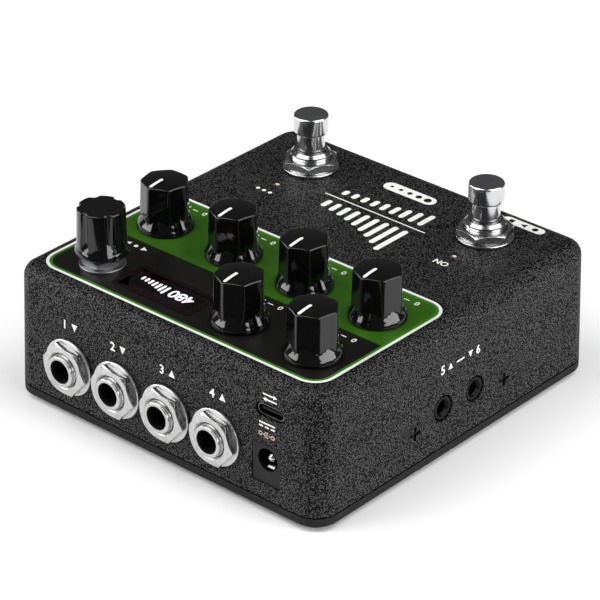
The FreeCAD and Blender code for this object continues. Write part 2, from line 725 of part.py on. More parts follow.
def encoder_body():
    """Push encoder: housing on the control board, bushing, and the click dome in its floor."""
    body = block(-ENCODER_WIDTH / 2, ENCODER_WIDTH / 2, -ENCODER_DEPTH / 2, ENCODER_DEPTH / 2, 0, POT_HEIGHT)
    body = body.fuse(rod(BUSHING_RADIUS, 0, 0, POT_HEIGHT, encoder_top - control_top))
    chamber = rod(ENCODER_ROTOR_RADIUS + SEAT_GAP, 0, 0, POT_SKIN, POT_HEIGHT - POT_SKIN)
    bore = rod(SHAFT_NECK_RADIUS + RUN_GAP, 0, 0, POT_SKIN, encoder_top - control_top)
    body = body.cut([chamber, bore])
    body = body.fuse(pins(0, 0, PIN_RADIUS * 2 - ENCODER_DEPTH / 2, PIN_RADIUS))
    return place(body, (encoder_x, encoder_y, control_top))


def encoder_levels():
    """Heights of the rotor and of the foot of the shaft above the control board."""
    foot = control_top + POT_SKIN + PUSH_TRAVEL + SEAT_GAP
    rotor = control_top + POT_HEIGHT - POT_SKIN - SEAT_GAP - ENCODER_ROTOR_THICKNESS
    return foot, rotor


def encoder_rotor():
    """Code disc that turns with the shaft and lets it slide."""
    rotor = encoder_levels()[1]
    disc = rod(ENCODER_ROTOR_RADIUS, 0, 0, rotor, rotor + ENCODER_ROTOR_THICKNESS)
    bore = d_rod(SHAFT_NECK_RADIUS + RUN_GAP, ENCODER_FLAT + RUN_GAP, rotor, rotor + ENCODER_ROTOR_THICKNESS)
    return place(disc.cut(bore), (encoder_x, encoder_y, 0))


def encoder_shaft():
    """Shaft: flatted foot in the rotor, round neck in the bushing, flatted end in the knob."""
    foot, rotor = encoder_levels()
    neck = rotor + ENCODER_ROTOR_THICKNESS + PUSH_TRAVEL + RUN_GAP
    head = encoder_top + PUSH_TRAVEL + RUN_GAP
    shaft = d_rod(SHAFT_NECK_RADIUS, ENCODER_FLAT, foot, neck)
    shaft = shaft.fuse(rod(SHAFT_NECK_RADIUS, 0, 0, neck, head))
    shaft = shaft.fuse(d_rod(SHAFT_RADIUS, SHAFT_FLAT, head, select_z + SELECT_HEIGHT - SELECT_ROOF))
    return place(shaft, (encoder_x, encoder_y, 0))


def encoder_washer():
    """Bright washer under the encoder nut."""
    ring = washer(BUSHING_RADIUS + THREAD_GAP, ENCODER_WASHER_RADIUS, ENCODER_WASHER)
    return place(ring, (encoder_x, encoder_y, top_z))


def select_knob():
    """Fluted knob with a small flared foot, pressed on the encoder shaft."""
    body = Part.makeCone(SELECT_LOW_RADIUS, SELECT_HIGH_RADIUS, SELECT_HEIGHT)
    hub = SELECT_HIGH_RADIUS + SELECT_FLUTE_RADIUS - SELECT_FLUTE_BITE
    flutes = []
    for i in range(SELECT_FLUTES):
        angle = math.radians(90 + 360.0 * i / SELECT_FLUTES)
        flutes.append(rod(SELECT_FLUTE_RADIUS, hub * math.cos(angle), hub * math.sin(angle), 0, SELECT_HEIGHT))
    body = body.cut(flutes)
    rim = [edge for edge in body.Edges if edge.BoundBox.ZMin > SELECT_HEIGHT / 2]
    body = body.makeFillet(SELECT_TOP_ROUND, rim)
    body = body.fuse(flare(SELECT_SKIRT_RADIUS, SELECT_NECK_RADIUS, SELECT_RIM, SELECT_NECK_HEIGHT))
    bore = d_rod(SHAFT_RADIUS + THREAD_GAP, SHAFT_FLAT + THREAD_GAP, 0, SELECT_HEIGHT - SELECT_ROOF + SEAT_GAP)
    return place(body.cut(bore), (encoder_x, encoder_y, select_z))


# Footswitches

def switch_bushing(x):
    """Threaded bushing: a sloped shoulder and a lip above the thread, a square frame below the roof."""
    end = top_z + SWITCH_BUSHING_HEIGHT
    step = end - SWITCH_LIP
    thread_end = step - SWITCH_SHOULDER
    bore = SWITCH_STEM_RADIUS + RUN_GAP
    profile = [(bore, switch_frame_z)] + thread_profile(SWITCH_BUSHING_RADIUS, switch_frame_z, thread_end)
    profile += [(SWITCH_BUSHING_RADIUS, thread_end), (SWITCH_BUSHING_RADIUS - SWITCH_SHOULDER, step),
                (SWITCH_LIP_RADIUS, step), (SWITCH_LIP_RADIUS, end), (bore, end)]
    frame = block(-SWITCH_CASE_X / 2, SWITCH_CASE_X / 2, -SWITCH_CASE_Y / 2, SWITCH_CASE_Y / 2,
                  switch_frame_z, roof_z)
    frame = frame.cut(rod(bore, 0, 0, switch_frame_z, roof_z))
    return place(frame.fuse(turned(profile)), (x, switch_y, 0))


def switch_case(x):
    """Moulded switch housing, open at the top under the frame."""
    low, high = switch_case_z, switch_frame_z
    body = block(-SWITCH_CASE_X / 2, SWITCH_CASE_X / 2, -SWITCH_CASE_Y / 2, SWITCH_CASE_Y / 2, low, high)
    body = body.cut(rod(SWITCH_COLLAR_RADIUS + SEAT_GAP, 0, 0, low + SWITCH_CASE_FLOOR, high))
    legs = [leg.translated(FreeCAD.Vector(0, 0, low)) for leg in pins(0, 0, 0, PIN_RADIUS)]
    return place(body.fuse(legs), (x, switch_y, 0))


def switch_plunger(x):
    """Chromed button: cap, stem, stop collar and the guide inside the spring."""
    high = top_z + SWITCH_CAP_HIGH
    low = top_z + SWITCH_CAP_LOW
    collar_top = switch_collar_z + SWITCH_COLLAR
    cap = SWITCH_CAP_RADIUS
    under = SWITCH_CAP_UNDERCUT
    profile = [(0, switch_guide_z), (SWITCH_GUIDE_RADIUS, switch_guide_z), (SWITCH_GUIDE_RADIUS, switch_collar_z),
               (SWITCH_COLLAR_RADIUS, switch_collar_z), (SWITCH_COLLAR_RADIUS, collar_top),
               (SWITCH_STEM_RADIUS, collar_top), (SWITCH_STEM_RADIUS, low), (cap - under, low),
               (cap - under / 3, low + under / 3), (cap, low + under), (cap, high), (0, high)]
    body = turned(profile)
    rim = [edge for edge in body.Edges if edge.BoundBox.ZMin > high - under and edge.BoundBox.XLength > cap]
    body = body.makeFillet(SWITCH_CAP_ROUND, rim)
    return place(body, (x, switch_y, 0))


def switch_spring(x):
    """Return spring, drawn as the tube that its coils fill."""
    low = switch_case_z + SWITCH_CASE_FLOOR
    inner = SPRING_OUTER_RADIUS - SPRING_WIRE
    ring = turned([(inner, low), (SPRING_OUTER_RADIUS, low), (SPRING_OUTER_RADIUS, switch_collar_z),
                   (inner, switch_collar_z)])
    return place(ring, (x, switch_y, 0))


def switch_hardware():
    """Nuts, and below each nut a steel washer on a thin black seal."""
    hole = SWITCH_BUSHING_RADIUS + THREAD_GAP
    seal = washer(hole, SWITCH_SEAL_RADIUS, SWITCH_SEAL)
    ring = washer(hole, SWITCH_WASHER_RADIUS, SWITCH_WASHER)
    shape = nut(SWITCH_NUT_ACROSS, SWITCH_NUT_HEIGHT, hole)
    ring_z = top_z + SWITCH_SEAL
    nut_z = ring_z + SWITCH_WASHER
    turns = {"left": SWITCH_NUT_PHASE_LEFT, "right": SWITCH_NUT_PHASE_RIGHT}
    washers = []
    nuts = []
    for side, x in SWITCHES.items():
        washers += [place(seal, (x, switch_y, top_z)), place(ring, (x, switch_y, ring_z))]
        nuts.append(place(shape, (x, switch_y, nut_z), UP, turns[side]))
    return washers, nuts


# Indicator lights

def light_pipes():
    """Clear pipes from the two light chips to the roof."""
    pipes = []
    low = control_top + LIGHT_CHIP_HEIGHT + SEAT_GAP
    for side in SIDES:
        pipe = rod(LIGHT_RADIUS, side * light_x, light_y, low, top_z - LIGHT_SINK)
        flange = rod(LIGHT_FLANGE_RADIUS, side * light_x, light_y, roof_z - LIGHT_FLANGE, roof_z)
        pipes.append(pipe.fuse(flange))
    return pipes


# Big jacks

def jack_bushing(x):
    """Threaded nickel bushing of a 6.35 mm jack."""
    length = jack_mouth - jack_front
    rim = JACK_BUSHING_RADIUS - THREAD_DEPTH
    ease = THREAD_DEPTH / 2
    profile = [(JACK_BORE_RADIUS, 0)] + thread_profile(JACK_BUSHING_RADIUS, 0, length - THREAD_PITCH)
    profile += [(rim, length - ease), (rim - ease, length), (JACK_BORE_RADIUS + ease, length),
                (JACK_BORE_RADIUS, length - ease)]
    return place(turned(profile), (x, jack_front, jack_z), OUT_Y)


def jack_blade(x, gap):
    """Tip contact in the top of the jack's chamber, or the slot for it when gap is given."""
    half = JACK_BLADE_WIDTH / 2 + gap
    far = jack_front - JACK_CHAMBER_LENGTH + SEAT_GAP
    top = jack_z + JACK_CHAMBER_RADIUS + JACK_BLADE
    return block(x - half, x + half, far - gap, far + JACK_BLADE_LENGTH + gap, top - JACK_BLADE - gap, top)


def jack_body(x):
    """Moulded jack housing with its chamber and the slot of the tip contact."""
    half = JACK_BODY_WIDTH / 2
    body = block(x - half, x + half, jack_front - JACK_BODY_LENGTH, jack_front, main_top, jack_top)
    at = (x, jack_front - JACK_CHAMBER_LENGTH, jack_z)
    chamber = bar(JACK_CHAMBER_RADIUS, at, OUT_Y, JACK_CHAMBER_LENGTH)
    blade = jack_blade(x, RUN_GAP)
    way = block(x - JACK_BLADE_WIDTH / 2 - RUN_GAP, x + JACK_BLADE_WIDTH / 2 + RUN_GAP, blade.BoundBox.YMin,
                blade.BoundBox.YMax, jack_z, blade.BoundBox.ZMin)
    return body.cut([chamber, blade, way])


def jack_hardware():
    """Washers on the wall's spot faces, and the nuts on them."""
    ring = washer(JACK_BUSHING_RADIUS + THREAD_GAP, JACK_WASHER_RADIUS, JACK_WASHER)
    shape = nut(JACK_NUT_ACROSS, JACK_NUT_HEIGHT, JACK_BUSHING_RADIUS + THREAD_GAP)
    washers = [place(ring, (x, jack_face, jack_z), OUT_Y) for x in JACK_XS]
    nuts = [place(shape, (x, jack_face + JACK_WASHER, jack_z), OUT_Y, JACK_NUT_PHASE) for x in JACK_XS]
    return washers, nuts


# DC inlet and data socket

def dc_socket():
    """Moulded inlet whose face is flush with the wall."""
    face = wall_y(main_top + DC_HEIGHT)
    body = block(dc_x - DC_WIDTH / 2, dc_x + DC_WIDTH / 2, face - DC_LENGTH, face, main_top, main_top + DC_HEIGHT)
    hole = bar(DC_HOLE_RADIUS, (dc_hole_x, face - DC_HOLE_DEPTH, dc_z), OUT_Y, DC_HOLE_DEPTH)
    root = bar(DC_PIN_RADIUS + THREAD_GAP, (dc_hole_x, face - DC_LENGTH, dc_z), OUT_Y, DC_LENGTH)
    return body.cut([hole, root])


def dc_contacts():
    """Centre pin, and the sleeve spring along the bottom of the hole."""
    face = wall_y(main_top + DC_HEIGHT)
    tip = DC_PIN_RADIUS / 2
    length = DC_LENGTH - DC_PIN_SINK
    pin = place(turned([(0, 0), (DC_PIN_RADIUS, 0), (DC_PIN_RADIUS, length - tip), (tip, length), (0, length)]),
                (dc_hole_x, face - DC_LENGTH, dc_z), OUT_Y)
    outer = DC_HOLE_RADIUS - RUN_GAP
    start = face - DC_HOLE_DEPTH + RUN_GAP
    spring = bar(outer, (dc_hole_x, start, dc_z), OUT_Y, DC_HOLE_DEPTH / 2)
    spring = spring.cut(bar(outer - JACK_BLADE, (dc_hole_x, start, dc_z), OUT_Y, DC_HOLE_DEPTH / 2))
    keep = block(dc_hole_x - DC_PIN_RADIUS, dc_hole_x + DC_PIN_RADIUS, start, face, dc_z - DC_HOLE_RADIUS, dc_z)
    return [pin, spring.common(keep)]


def usb_socket():
    """Data socket: rounded metal shell with a tongue, on top of the control board."""
    mouth = wall_y(control_top + USB_HEIGHT / 2) - USB_SINK
    skin = USB_SKIN
    round_end = USB_HEIGHT / 2 - SLOT_FLAT
    outer = slab(USB_WIDTH / 2, USB_HEIGHT / 2, round_end, 0, USB_LENGTH)
    inner = slab(USB_WIDTH / 2 - skin, USB_HEIGHT / 2 - skin, round_end - skin, 0, USB_LENGTH - 2 * skin)
    tongue = block(-USB_TONGUE_WIDTH / 2, USB_TONGUE_WIDTH / 2, -USB_TONGUE / 2, USB_TONGUE / 2,
                   USB_SINK, USB_LENGTH - skin)
    shape = outer.cut(inner).fuse(tongue)
    return place(shape, (usb_x, mouth, control_top + USB_HEIGHT / 2), FreeCAD.Vector(0, -1, 0))


# Side jacks

def side_jack(y):
    """3.5 mm jack on the side board: a round nose in the wall, with a coned mouth to its bore."""
    body = block(-side_body_face, -side_board_x, y - SIDE_BODY_WIDTH / 2, y + SIDE_BODY_WIDTH / 2,
                 side_z - SIDE_BODY_HEIGHT / 2, side_z + SIDE_BODY_HEIGHT / 2)
    body = body.fuse(bar(SIDE_NOSE_RADIUS, (-side_body_face, y, side_z), OUT_LEFT, side_nose - side_body_face))
    bore = bar(SIDE_BORE_RADIUS, (SIDE_BORE_DEPTH - side_nose, y, side_z), OUT_LEFT, SIDE_BORE_DEPTH)
    cone = turned([(0, 0), (SIDE_BORE_RADIUS, 0), (SIDE_BORE_RADIUS + SIDE_MOUTH, SIDE_MOUTH), (0, SIDE_MOUTH)])
    return body.cut([bore, place(cone, (SIDE_MOUTH - side_nose, y, side_z), OUT_LEFT)])


def side_screw(side):
    """Countersunk screw through the -X wall into its spacer."""
    at = (-wall_x(side_screw_z), side * SIDE_SCREW_Y, side_screw_z)
    return place(countersunk_screw(SIDE_SCREW_LENGTH), at, FreeCAD.Vector(1, 0, 0))


def side_spacer(side):
    """Spacer between the -X wall and the side board."""
    face = wall_x(side_screw_z + SPACER_ACROSS) - WALL - RUN_GAP
    shape = spacer(SPACER_ACROSS, face - side_board_x, SCREW_RADIUS + THREAD_GAP)
    return place(shape, (-face, side * SIDE_SCREW_Y, side_screw_z), FreeCAD.Vector(1, 0, 0))


def side_board():
    """Small upright board behind the -X wall."""
    end = SIDE_SCREW_Y + SIDE_BOARD_END
    board = block(-side_board_x, BOARD - side_board_x, -end, end, main_top + SIDE_BOARD_LOW_ROOM,
                  control_z - SIDE_BOARD_TOP_ROOM)
    reach = -side_board_x
    for side in SIDES:
        at = (reach, side * SIDE_SCREW_Y, side_screw_z)
        board = board.cut(bar(SCREW_RADIUS + HOLE_GAP, at, FreeCAD.Vector(1, 0, 0), BOARD))
    return board


# Boards and what joins them

def board_plate(near_y, z):
    """Board with a tongue between the corner bosses, reaching the jack wall."""
    far = jack_front - JACK_BODY_GAP
    narrow = boss_edge - TONGUE_GAP
    wide = block(-board_half_x, board_half_x, near_y, board_wide_y, z, z + BOARD)
    plate = wide.fuse(block(-narrow, narrow, board_wide_y, far, z, z + BOARD))
    holes = [rod(SCREW_RADIUS + HOLE_GAP, x, y, z, z + BOARD) for x, y in STANDS]
    return plate.removeSplitter().cut(holes)


def control_board():
    """Upper board: dials, encoder, display, data socket and the two light chips."""
    board = board_plate(control_near_y, control_z)
    holes = []
    pin_room = PIN_RADIUS + HOLE_GAP
    for x, y in DIALS.values():
        holes += pins(x, y, PIN_RADIUS * 2 - POT_DEPTH / 2, pin_room)
    holes += pins(encoder_x, encoder_y, PIN_RADIUS * 2 - ENCODER_DEPTH / 2, pin_room)
    board = board.cut([hole.translated(FreeCAD.Vector(0, 0, control_top)) for hole in holes])
    half = LIGHT_CHIP / 2
    chips = [block(side * light_x - half, side * light_x + half, light_y - half, light_y + half, control_top,
                   control_top + LIGHT_CHIP_HEIGHT) for side in SIDES]
    return [board] + chips


def switch_board():
    """Small board under the two footswitches."""
    half_x = switch_x + SWITCH_CASE_X / 2
    half_y = SWITCH_CASE_Y / 2
    board = block(-half_x, half_x, switch_y - half_y, switch_y + half_y, switch_board_z, switch_case_z)
    holes = []
    for x in SWITCHES.values():
        holes += pins(x, switch_y, 0, PIN_RADIUS + HOLE_GAP)
    return board.cut([hole.translated(FreeCAD.Vector(0, 0, switch_case_z)) for hole in holes])


def board_standoffs():
    """Spacers between the two big boards, and the two on the side screws."""
    shape = spacer(SPACER_ACROSS, control_z - main_top, SCREW_RADIUS + THREAD_GAP)
    return [place(shape, (x, y, main_top)) for x, y in STANDS] + [side_spacer(side) for side in SIDES]


def board_screw():
    """Pan-head screw with a cross recess; the head sits on the origin plane."""
    head = BOARD_SCREW_HEAD_HEIGHT
    radius = SCREW_HEAD_RADIUS
    body = turned([(0, -BOARD_SCREW_GRIP), (SCREW_RADIUS, -BOARD_SCREW_GRIP), (SCREW_RADIUS, 0), (radius, 0),
                   (radius, head / 2), (radius / 2, head), (0, head)])
    half = radius / 2
    wide = CROSS_WIDTH / 2
    low = head - CROSS_DEPTH
    body = body.cut(block(-half, half, -wide, wide, low, head))
    return body.cut(block(-wide, wide, -half, half, low, head))


def board_screws():
    """Screws from above and below into the spacers between the big boards."""
    shape = board_screw()
    screws = [place(shape, (x, y, control_top)) for x, y in STANDS]
    screws += [place(shape, (x, y, main_z), FreeCAD.Vector(0, 0, -1)) for x, y in STANDS]
    return screws


def board_links():
    """Pin headers that join the boards."""
    half = LINK_LENGTH / 2
    wide = LINK_WIDTH / 2
    middle = dial_near_y - LINK_DIAL_GAP
    under = switch_y + LINK_UNDER_SWITCH
    side = BOARD - side_board_x
    return [block(-half, half, middle - wide, middle + wide, main_top, control_z),
            block(-half, half, under - wide, under + wide, main_top, switch_board_z),
            block(side, side + LINK_WIDTH, -half, half, main_top, main_top + SIDE_LINK_HEIGHT)]


# Writing the nodes

def fixed_nodes():
    """Everything that stays put."""
    jack_washers, jack_nuts = jack_hardware()
    switch_washers, switch_nuts = switch_hardware()
    nodes = {
        "enclosure_shell": [enclosure_shell()],
        "base_plate": [base_plate()],
        "rubber_mat": [rubber_mat()],
        "base_screws": base_screws(),
        "panel_overlay": [panel_overlay()],
        "display_window": [display_window()],
        "display_module": display_module(),
        "control_board": control_board(),
        "main_board": [board_plate(main_near_y, main_z)],
        "side_board": [side_board()],
        "switch_board": [switch_board()],
        "board_standoffs": board_standoffs(),
        "board_screws": board_screws(),
        "board_links": board_links(),
        "side_screws": [side_screw(side) for side in SIDES],
        "side_jacks": [side_jack(y) for y in SIDE_JACK_YS],
        "footswitch_cases": [switch_case(x) for x in SWITCHES.values()],
        "footswitch_bushings": [switch_bushing(x) for x in SWITCHES.values()],
        "footswitch_washers": switch_washers,
        "footswitch_nuts": switch_nuts,
        "jack_bushings": [jack_bushing(x) for x in JACK_XS],
        "jack_washers": jack_washers,
        "jack_nuts": jack_nuts,
        "jack_contacts": [jack_blade(x, 0) for x in JACK_XS],
        "dc_socket": [dc_socket()],
        "dc_contacts": dc_contacts(),
        "usb_socket": [usb_socket()],
        "light_pipes": light_pipes(),
        "bushing_nuts": bushing_nuts(),
        "encoder_body": [encoder_body()],
        "encoder_washer": [encoder_washer()],
    }
    for i, x in enumerate(JACK_XS):
        nodes["jack_body_" + str(i + 1)] = [jack_body(x)]
    for name, (x, y) in DIALS.items():
        nodes["pot_" + name] = [pot_body(x, y)]
    return nodes


def moving_nodes():
    """Everything that turns or slides, and the two return springs."""
    nodes = {
        "encoder_rotor": [encoder_rotor()],
        "encoder_shaft": [encoder_shaft()],
        "select_knob": [select_knob()],
    }
    knob = dial_knob()
    for name, (x, y) in DIALS.items():
        nodes["knob_" + name] = [place(knob, (x, y, knob_z))]
        nodes["shaft_" + name] = [pot_shaft(x, y)]
    for side, x in SWITCHES.items():
        nodes["footswitch_plunger_" + side] = [switch_plunger(x)]
        nodes["footswitch_spring_" + side] = [switch_spring(x)]
    return nodes


os.makedirs("parts", exist_ok=True)
for node, solids in {**fixed_nodes(), **moving_nodes()}.items():
    save(node, solids)
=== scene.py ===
import math

import bmesh
import bpy
from mathutils import Matrix, Vector
from mathutils.bvhtree import BVHTree


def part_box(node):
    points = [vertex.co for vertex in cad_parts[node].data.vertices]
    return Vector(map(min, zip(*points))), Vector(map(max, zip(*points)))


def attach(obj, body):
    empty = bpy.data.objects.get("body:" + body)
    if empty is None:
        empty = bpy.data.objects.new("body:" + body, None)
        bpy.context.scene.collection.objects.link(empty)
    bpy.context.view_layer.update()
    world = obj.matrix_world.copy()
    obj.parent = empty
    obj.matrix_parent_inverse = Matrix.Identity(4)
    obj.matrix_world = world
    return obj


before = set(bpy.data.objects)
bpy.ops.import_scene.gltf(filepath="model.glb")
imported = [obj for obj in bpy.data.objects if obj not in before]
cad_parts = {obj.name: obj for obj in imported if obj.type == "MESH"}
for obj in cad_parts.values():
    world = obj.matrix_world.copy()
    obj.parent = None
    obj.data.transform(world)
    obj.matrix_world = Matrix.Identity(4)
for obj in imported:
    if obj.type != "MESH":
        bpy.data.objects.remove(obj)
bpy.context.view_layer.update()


# Base plate
# A die-cast plate that closes the case from below. Its powder coat is smoother than the shell's,
# and the faces of the groove that parts it from the shell are painted flat black as painted shade.

MM = 0.001
BASE_GRAIN = 0.35 * MM
SPRAY_MOTTLE = 1 * MM
GROOVE_Z = 4.05 * MM
WELD_GAP = 0.001 * MM
EDGE_ANGLE = math.radians(30)
CREASE_ANGLE = math.radians(32)
COLOUR_A, COLOUR_B, MIXED = 6, 7, 2


def linear(code):
    """Linear colour from an sRGB hex value."""
    parts = [int(code[i:i + 2], 16) / 255 for i in (1, 3, 5)]
    return [((c + 0.055) / 1.055) ** 2.4 if c > 0.04045 else c / 12.92 for c in parts] + [1.0]


def add(material, kind, inputs=None, **settings):
    """Add one node: settings are its options, inputs are values or sockets to link."""
    tree = material.node_tree
    made = tree.nodes.new(kind)
    for name, value in settings.items():
        setattr(made, name, value)
    for key, value in (inputs or {}).items():
        if isinstance(value, bpy.types.NodeSocket):
            tree.links.new(value, made.inputs[key])
        else:
            made.inputs[key].default_value = value
    return made


def surface(name, **values):
    """New material with its Principled shader, the shader's own values, and object coordinates."""
    material = bpy.data.materials.new(name)
    material.use_nodes = True
    shader = material.node_tree.nodes["Principled BSDF"]
    for key, value in values.items():
        shader.inputs[key.replace("_", " ")].default_value = value
    place = add(material, "ShaderNodeTexCoord").outputs["Object"]
    return material, shader, place


def link(material, shader, **outputs):
    """Link outputs to the shader's sockets, which are named with underscores here."""
    for key, output in outputs.items():
        material.node_tree.links.new(output, shader.inputs[key.replace("_", " ")])


def tone(material, factor, dark, light):
    """Colour that goes from dark to light with a factor; the node's sockets go by number."""
    ends = {"Factor": factor, COLOUR_A: linear(dark), COLOUR_B: linear(light)}
    return add(material, "ShaderNodeMix", ends, data_type="RGBA").outputs[MIXED]


def dress(material, *nodes, edge=0.0):
    """Give carried-over pieces their material, smooth rounds and, where asked, broken edges."""
    for name in nodes:
        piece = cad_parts[name]
        piece.data.materials.clear()
        piece.data.materials.append(material)
        piece.data.shade_smooth()
        weld = piece.modifiers.new("weld", "WELD")
        weld.merge_threshold = WELD_GAP
        if edge:
            bevel = piece.modifiers.new("broken edge", "BEVEL")
            bevel.width = edge
            bevel.segments = 2
            bevel.limit_method = "ANGLE"
            bevel.angle_limit = EDGE_ANGLE
        split = piece.modifiers.new("crisp edge", "EDGE_SPLIT")
        split.split_angle = CREASE_ANGLE
        piece.modifiers.new("flat faces", "WEIGHTED_NORMAL")


def recolour(node, material, holds):
    """Give another material to the faces of a carried-over piece whose centre passes a test."""
    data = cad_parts[node].data
    data.materials.append(material)
    for face in data.polygons:
        if holds(face.center):
            face.material_index = len(data.materials) - 1


def base_coat():
    """Smooth powder coat: a faint orange-peel and an even satin gloss."""
    material, shader, place = surface("smooth black powder coat", Roughness=0.6, IOR=1.5,
                                      Specular_IOR_Level=0.2)
    noise = add(material, "ShaderNodeTexNoise", {"Vector": place, "Scale": 1 / BASE_GRAIN, "Detail": 3.0})
    grain = noise.outputs["Fac"]
    specks = add(material, "ShaderNodeMapRange", {"Value": grain, "From Min": 0.4, "From Max": 0.7})
    bump = add(material, "ShaderNodeBump", {"Height": grain, "Strength": 0.4, "Distance": 0.05 * MM})
    colour = tone(material, specks.outputs["Result"], "#050505", "#29292a")
    link(material, shader, Base_Color=colour, Normal=bump.outputs["Normal"])
    return material


def flat_coat(name, dark, light):
    """Flat coat: nearly no shine, with a faint sprayed mottle."""
    material, shader, place = surface(name, Roughness=0.9, IOR=1.5, Specular_IOR_Level=0.05)
    mottle = add(material, "ShaderNodeTexNoise", {"Vector": place, "Scale": 1 / SPRAY_MOTTLE, "Detail": 2.0})
    link(material, shader, Base_Color=tone(material, mottle.outputs["Fac"], dark, light))
    return material


painted_groove_shade = flat_coat("painted shade in the groove", "#010101", "#050505")
dress(base_coat(), "base_plate")
# The groove's faces are coloured near black: painted shade in the groove.
recolour("base_plate", painted_groove_shade, lambda centre: centre.z > GROOVE_Z)


# Rubber mat
# One sheet of black rubber, moulded with a fine matt skin and bonded under the base plate,
# with a hole for each base screw.

RUBBER_GRAIN = 0.4 * MM


def rubber_sheet():
    """Moulded rubber: very dark, matt, with a fine dusty grain."""
    material, shader, place = surface("moulded rubber sheet", Roughness=0.85, IOR=1.52)
    noise = add(material, "ShaderNodeTexNoise", {"Vector": place, "Scale": 1 / RUBBER_GRAIN, "Detail": 4.0})
    grain = noise.outputs["Fac"]
    bump = add(material, "ShaderNodeBump", {"Height": grain, "Strength": 0.4, "Distance": 0.08 * MM})
    colour = tone(material, grain, "#111112", "#232324")
    link(material, shader, Base_Color=colour, Normal=bump.outputs["Normal"])
    return material


dress(rubber_sheet(), "rubber_mat")


# Shell
# A die-cast aluminium shell with drafted walls and a soft top edge. It is powder coated in a
# coarse sand-texture black; its grain tops are painted lighter as painted highlight, its pits duller as
# painted shade.

SAND_GRAIN = 0.45 * MM
GLOSS_PATCH = 9 * MM


def sand_coat():
    """Sand-texture powder coat: grains under half a millimetre apart, dark, with painted highlight on the
    grain tops and less shine in the pits as painted shade.
    """
    material, shader, place = surface("sand-texture black powder coat", IOR=1.5)
    grains = add(material, "ShaderNodeTexVoronoi", {"Vector": place, "Scale": 1 / SAND_GRAIN})
    patches = add(material, "ShaderNodeTexNoise", {"Vector": place, "Scale": 1 / GLOSS_PATCH, "Detail": 2.0})
    heights = {"Value": grains.outputs["Distance"], "From Min": 0.56, "From Max": 0.0}
    grain_tops_and_painted_sheen = add(material, "ShaderNodeMapRange", heights).outputs["Result"]
    # Shine falls from the grain tops to the pits, where the lower shine stands for painted shade.
    shine = add(material, "ShaderNodeMapRange", {"Value": grain_tops_and_painted_sheen, "To Min": 0.06, "To Max": 0.55})
    gloss = add(material, "ShaderNodeMapRange", {"Value": patches.outputs["Fac"],
                                                 "To Min": 0.42, "To Max": 0.54})
    bump = add(material, "ShaderNodeBump", {"Height": grain_tops_and_painted_sheen, "Strength": 0.6, "Distance": 0.12 * MM})
    # The grain tops are painted lighter than the pits: a painted highlight.
    link(material, shader, Base_Color=tone(material, grain_tops_and_painted_sheen, "#0c0c0c", "#5a5a5b"),
         Specular_IOR_Level=shine.outputs["Result"], Roughness=gloss.outputs["Result"],
         Normal=bump.outputs["Normal"])
    return material


sand = sand_coat()
dress(sand, "enclosure_shell")


# Printed panel
# A polyester film screen-printed on its face and let into the roof: a green zone for the near
# row of dials, a black zone for the far row, and a white border with a fine green line inside.

PANEL_MOTTLE = 6 * MM
FILM_SKIN = 0.3 * MM
INK_CLOUD = 0.9 * MM
ZONE_EDGE_Y = 25.5 * MM
BORDER = 0.85 * MM
PANEL_CORNER = 6.4 * MM
INK = 0.02 * MM
ABOVE = 90 * MM
ROUND_STEPS = 8
CURVE_STEPS = 4
DIALS = ["time", "repeat", "level", "reverb", "bass", "treble"]
SCALE_DROP = 12.1 * MM
SCALE_HALF = 3.4 * MM
FIGURE = 1.9 * MM
BOLD = 0.018
EAST, NORTH, UP = Vector((1, 0, 0)), Vector((0, 1, 0)), Vector((0, 0, 1))


def panel_print():
    """Screen-printed film: green and black zones with the slight mottle of thick ink."""
    material, shader, place = surface("screen-printed film", Roughness=0.4, IOR=1.49,
                                      Specular_IOR_Level=0.35)
    mottle = add(material, "ShaderNodeTexNoise", {"Vector": place, "Scale": 1 / PANEL_MOTTLE, "Detail": 4.0})
    green = tone(material, mottle.outputs["Fac"], "#224903", "#34690a")
    black = tone(material, mottle.outputs["Fac"], "#0a0906", "#11100c")
    along = add(material, "ShaderNodeSeparateXYZ", {"Vector": place}).outputs["Y"]
    far = add(material, "ShaderNodeMath", {0: along, 1: ZONE_EDGE_Y}, operation="GREATER_THAN")
    choice = {"Factor": far.outputs[0], COLOUR_A: green, COLOUR_B: black}
    zones = add(material, "ShaderNodeMix", choice, data_type="RGBA")
    skin = add(material, "ShaderNodeTexNoise", {"Vector": place, "Scale": 1 / FILM_SKIN, "Detail": 2.0})
    bump = add(material, "ShaderNodeBump", {"Height": skin.outputs["Fac"], "Strength": 0.12,
                                            "Distance": 0.02 * MM})
    link(material, shader, Base_Color=zones.outputs[MIXED], Normal=bump.outputs["Normal"])
    return material


def screen_ink(name, dark, light):
    """Screen-printing ink: an even colour with the faint cloud of a thick layer."""
    material, shader, place = surface(name, Roughness=0.45, IOR=1.5)
    cloud = add(material, "ShaderNodeTexNoise", {"Vector": place, "Scale": 1 / INK_CLOUD, "Detail": 3.0})
    link(material, shader, Base_Color=tone(material, cloud.outputs["Fac"], dark, light))
    return material


def facing(node, across, along, layers=1):
    """Function that lays a flat point (u, v) on the outside of a piece, some layers of ink proud."""
    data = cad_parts[node].data
    tree = BVHTree.FromPolygons([corner.co for corner in data.vertices],
                                [face.vertices for face in data.polygons])
    out = across.cross(along)

    def spot(u, v):
        start = across * u + along * v + out * ABOVE
        return tree.ray_cast(start, -out)[0] + out * INK * layers
    return spot


def new_piece(name, shape, material):
    """Piece of the scene made from a bmesh, in one material."""
    data = bpy.data.meshes.new(name)
    shape.to_mesh(data)
    shape.free()
    data.materials.append(material)
    piece = bpy.data.objects.new(name, data)
    bpy.context.scene.collection.objects.link(piece)
    return piece


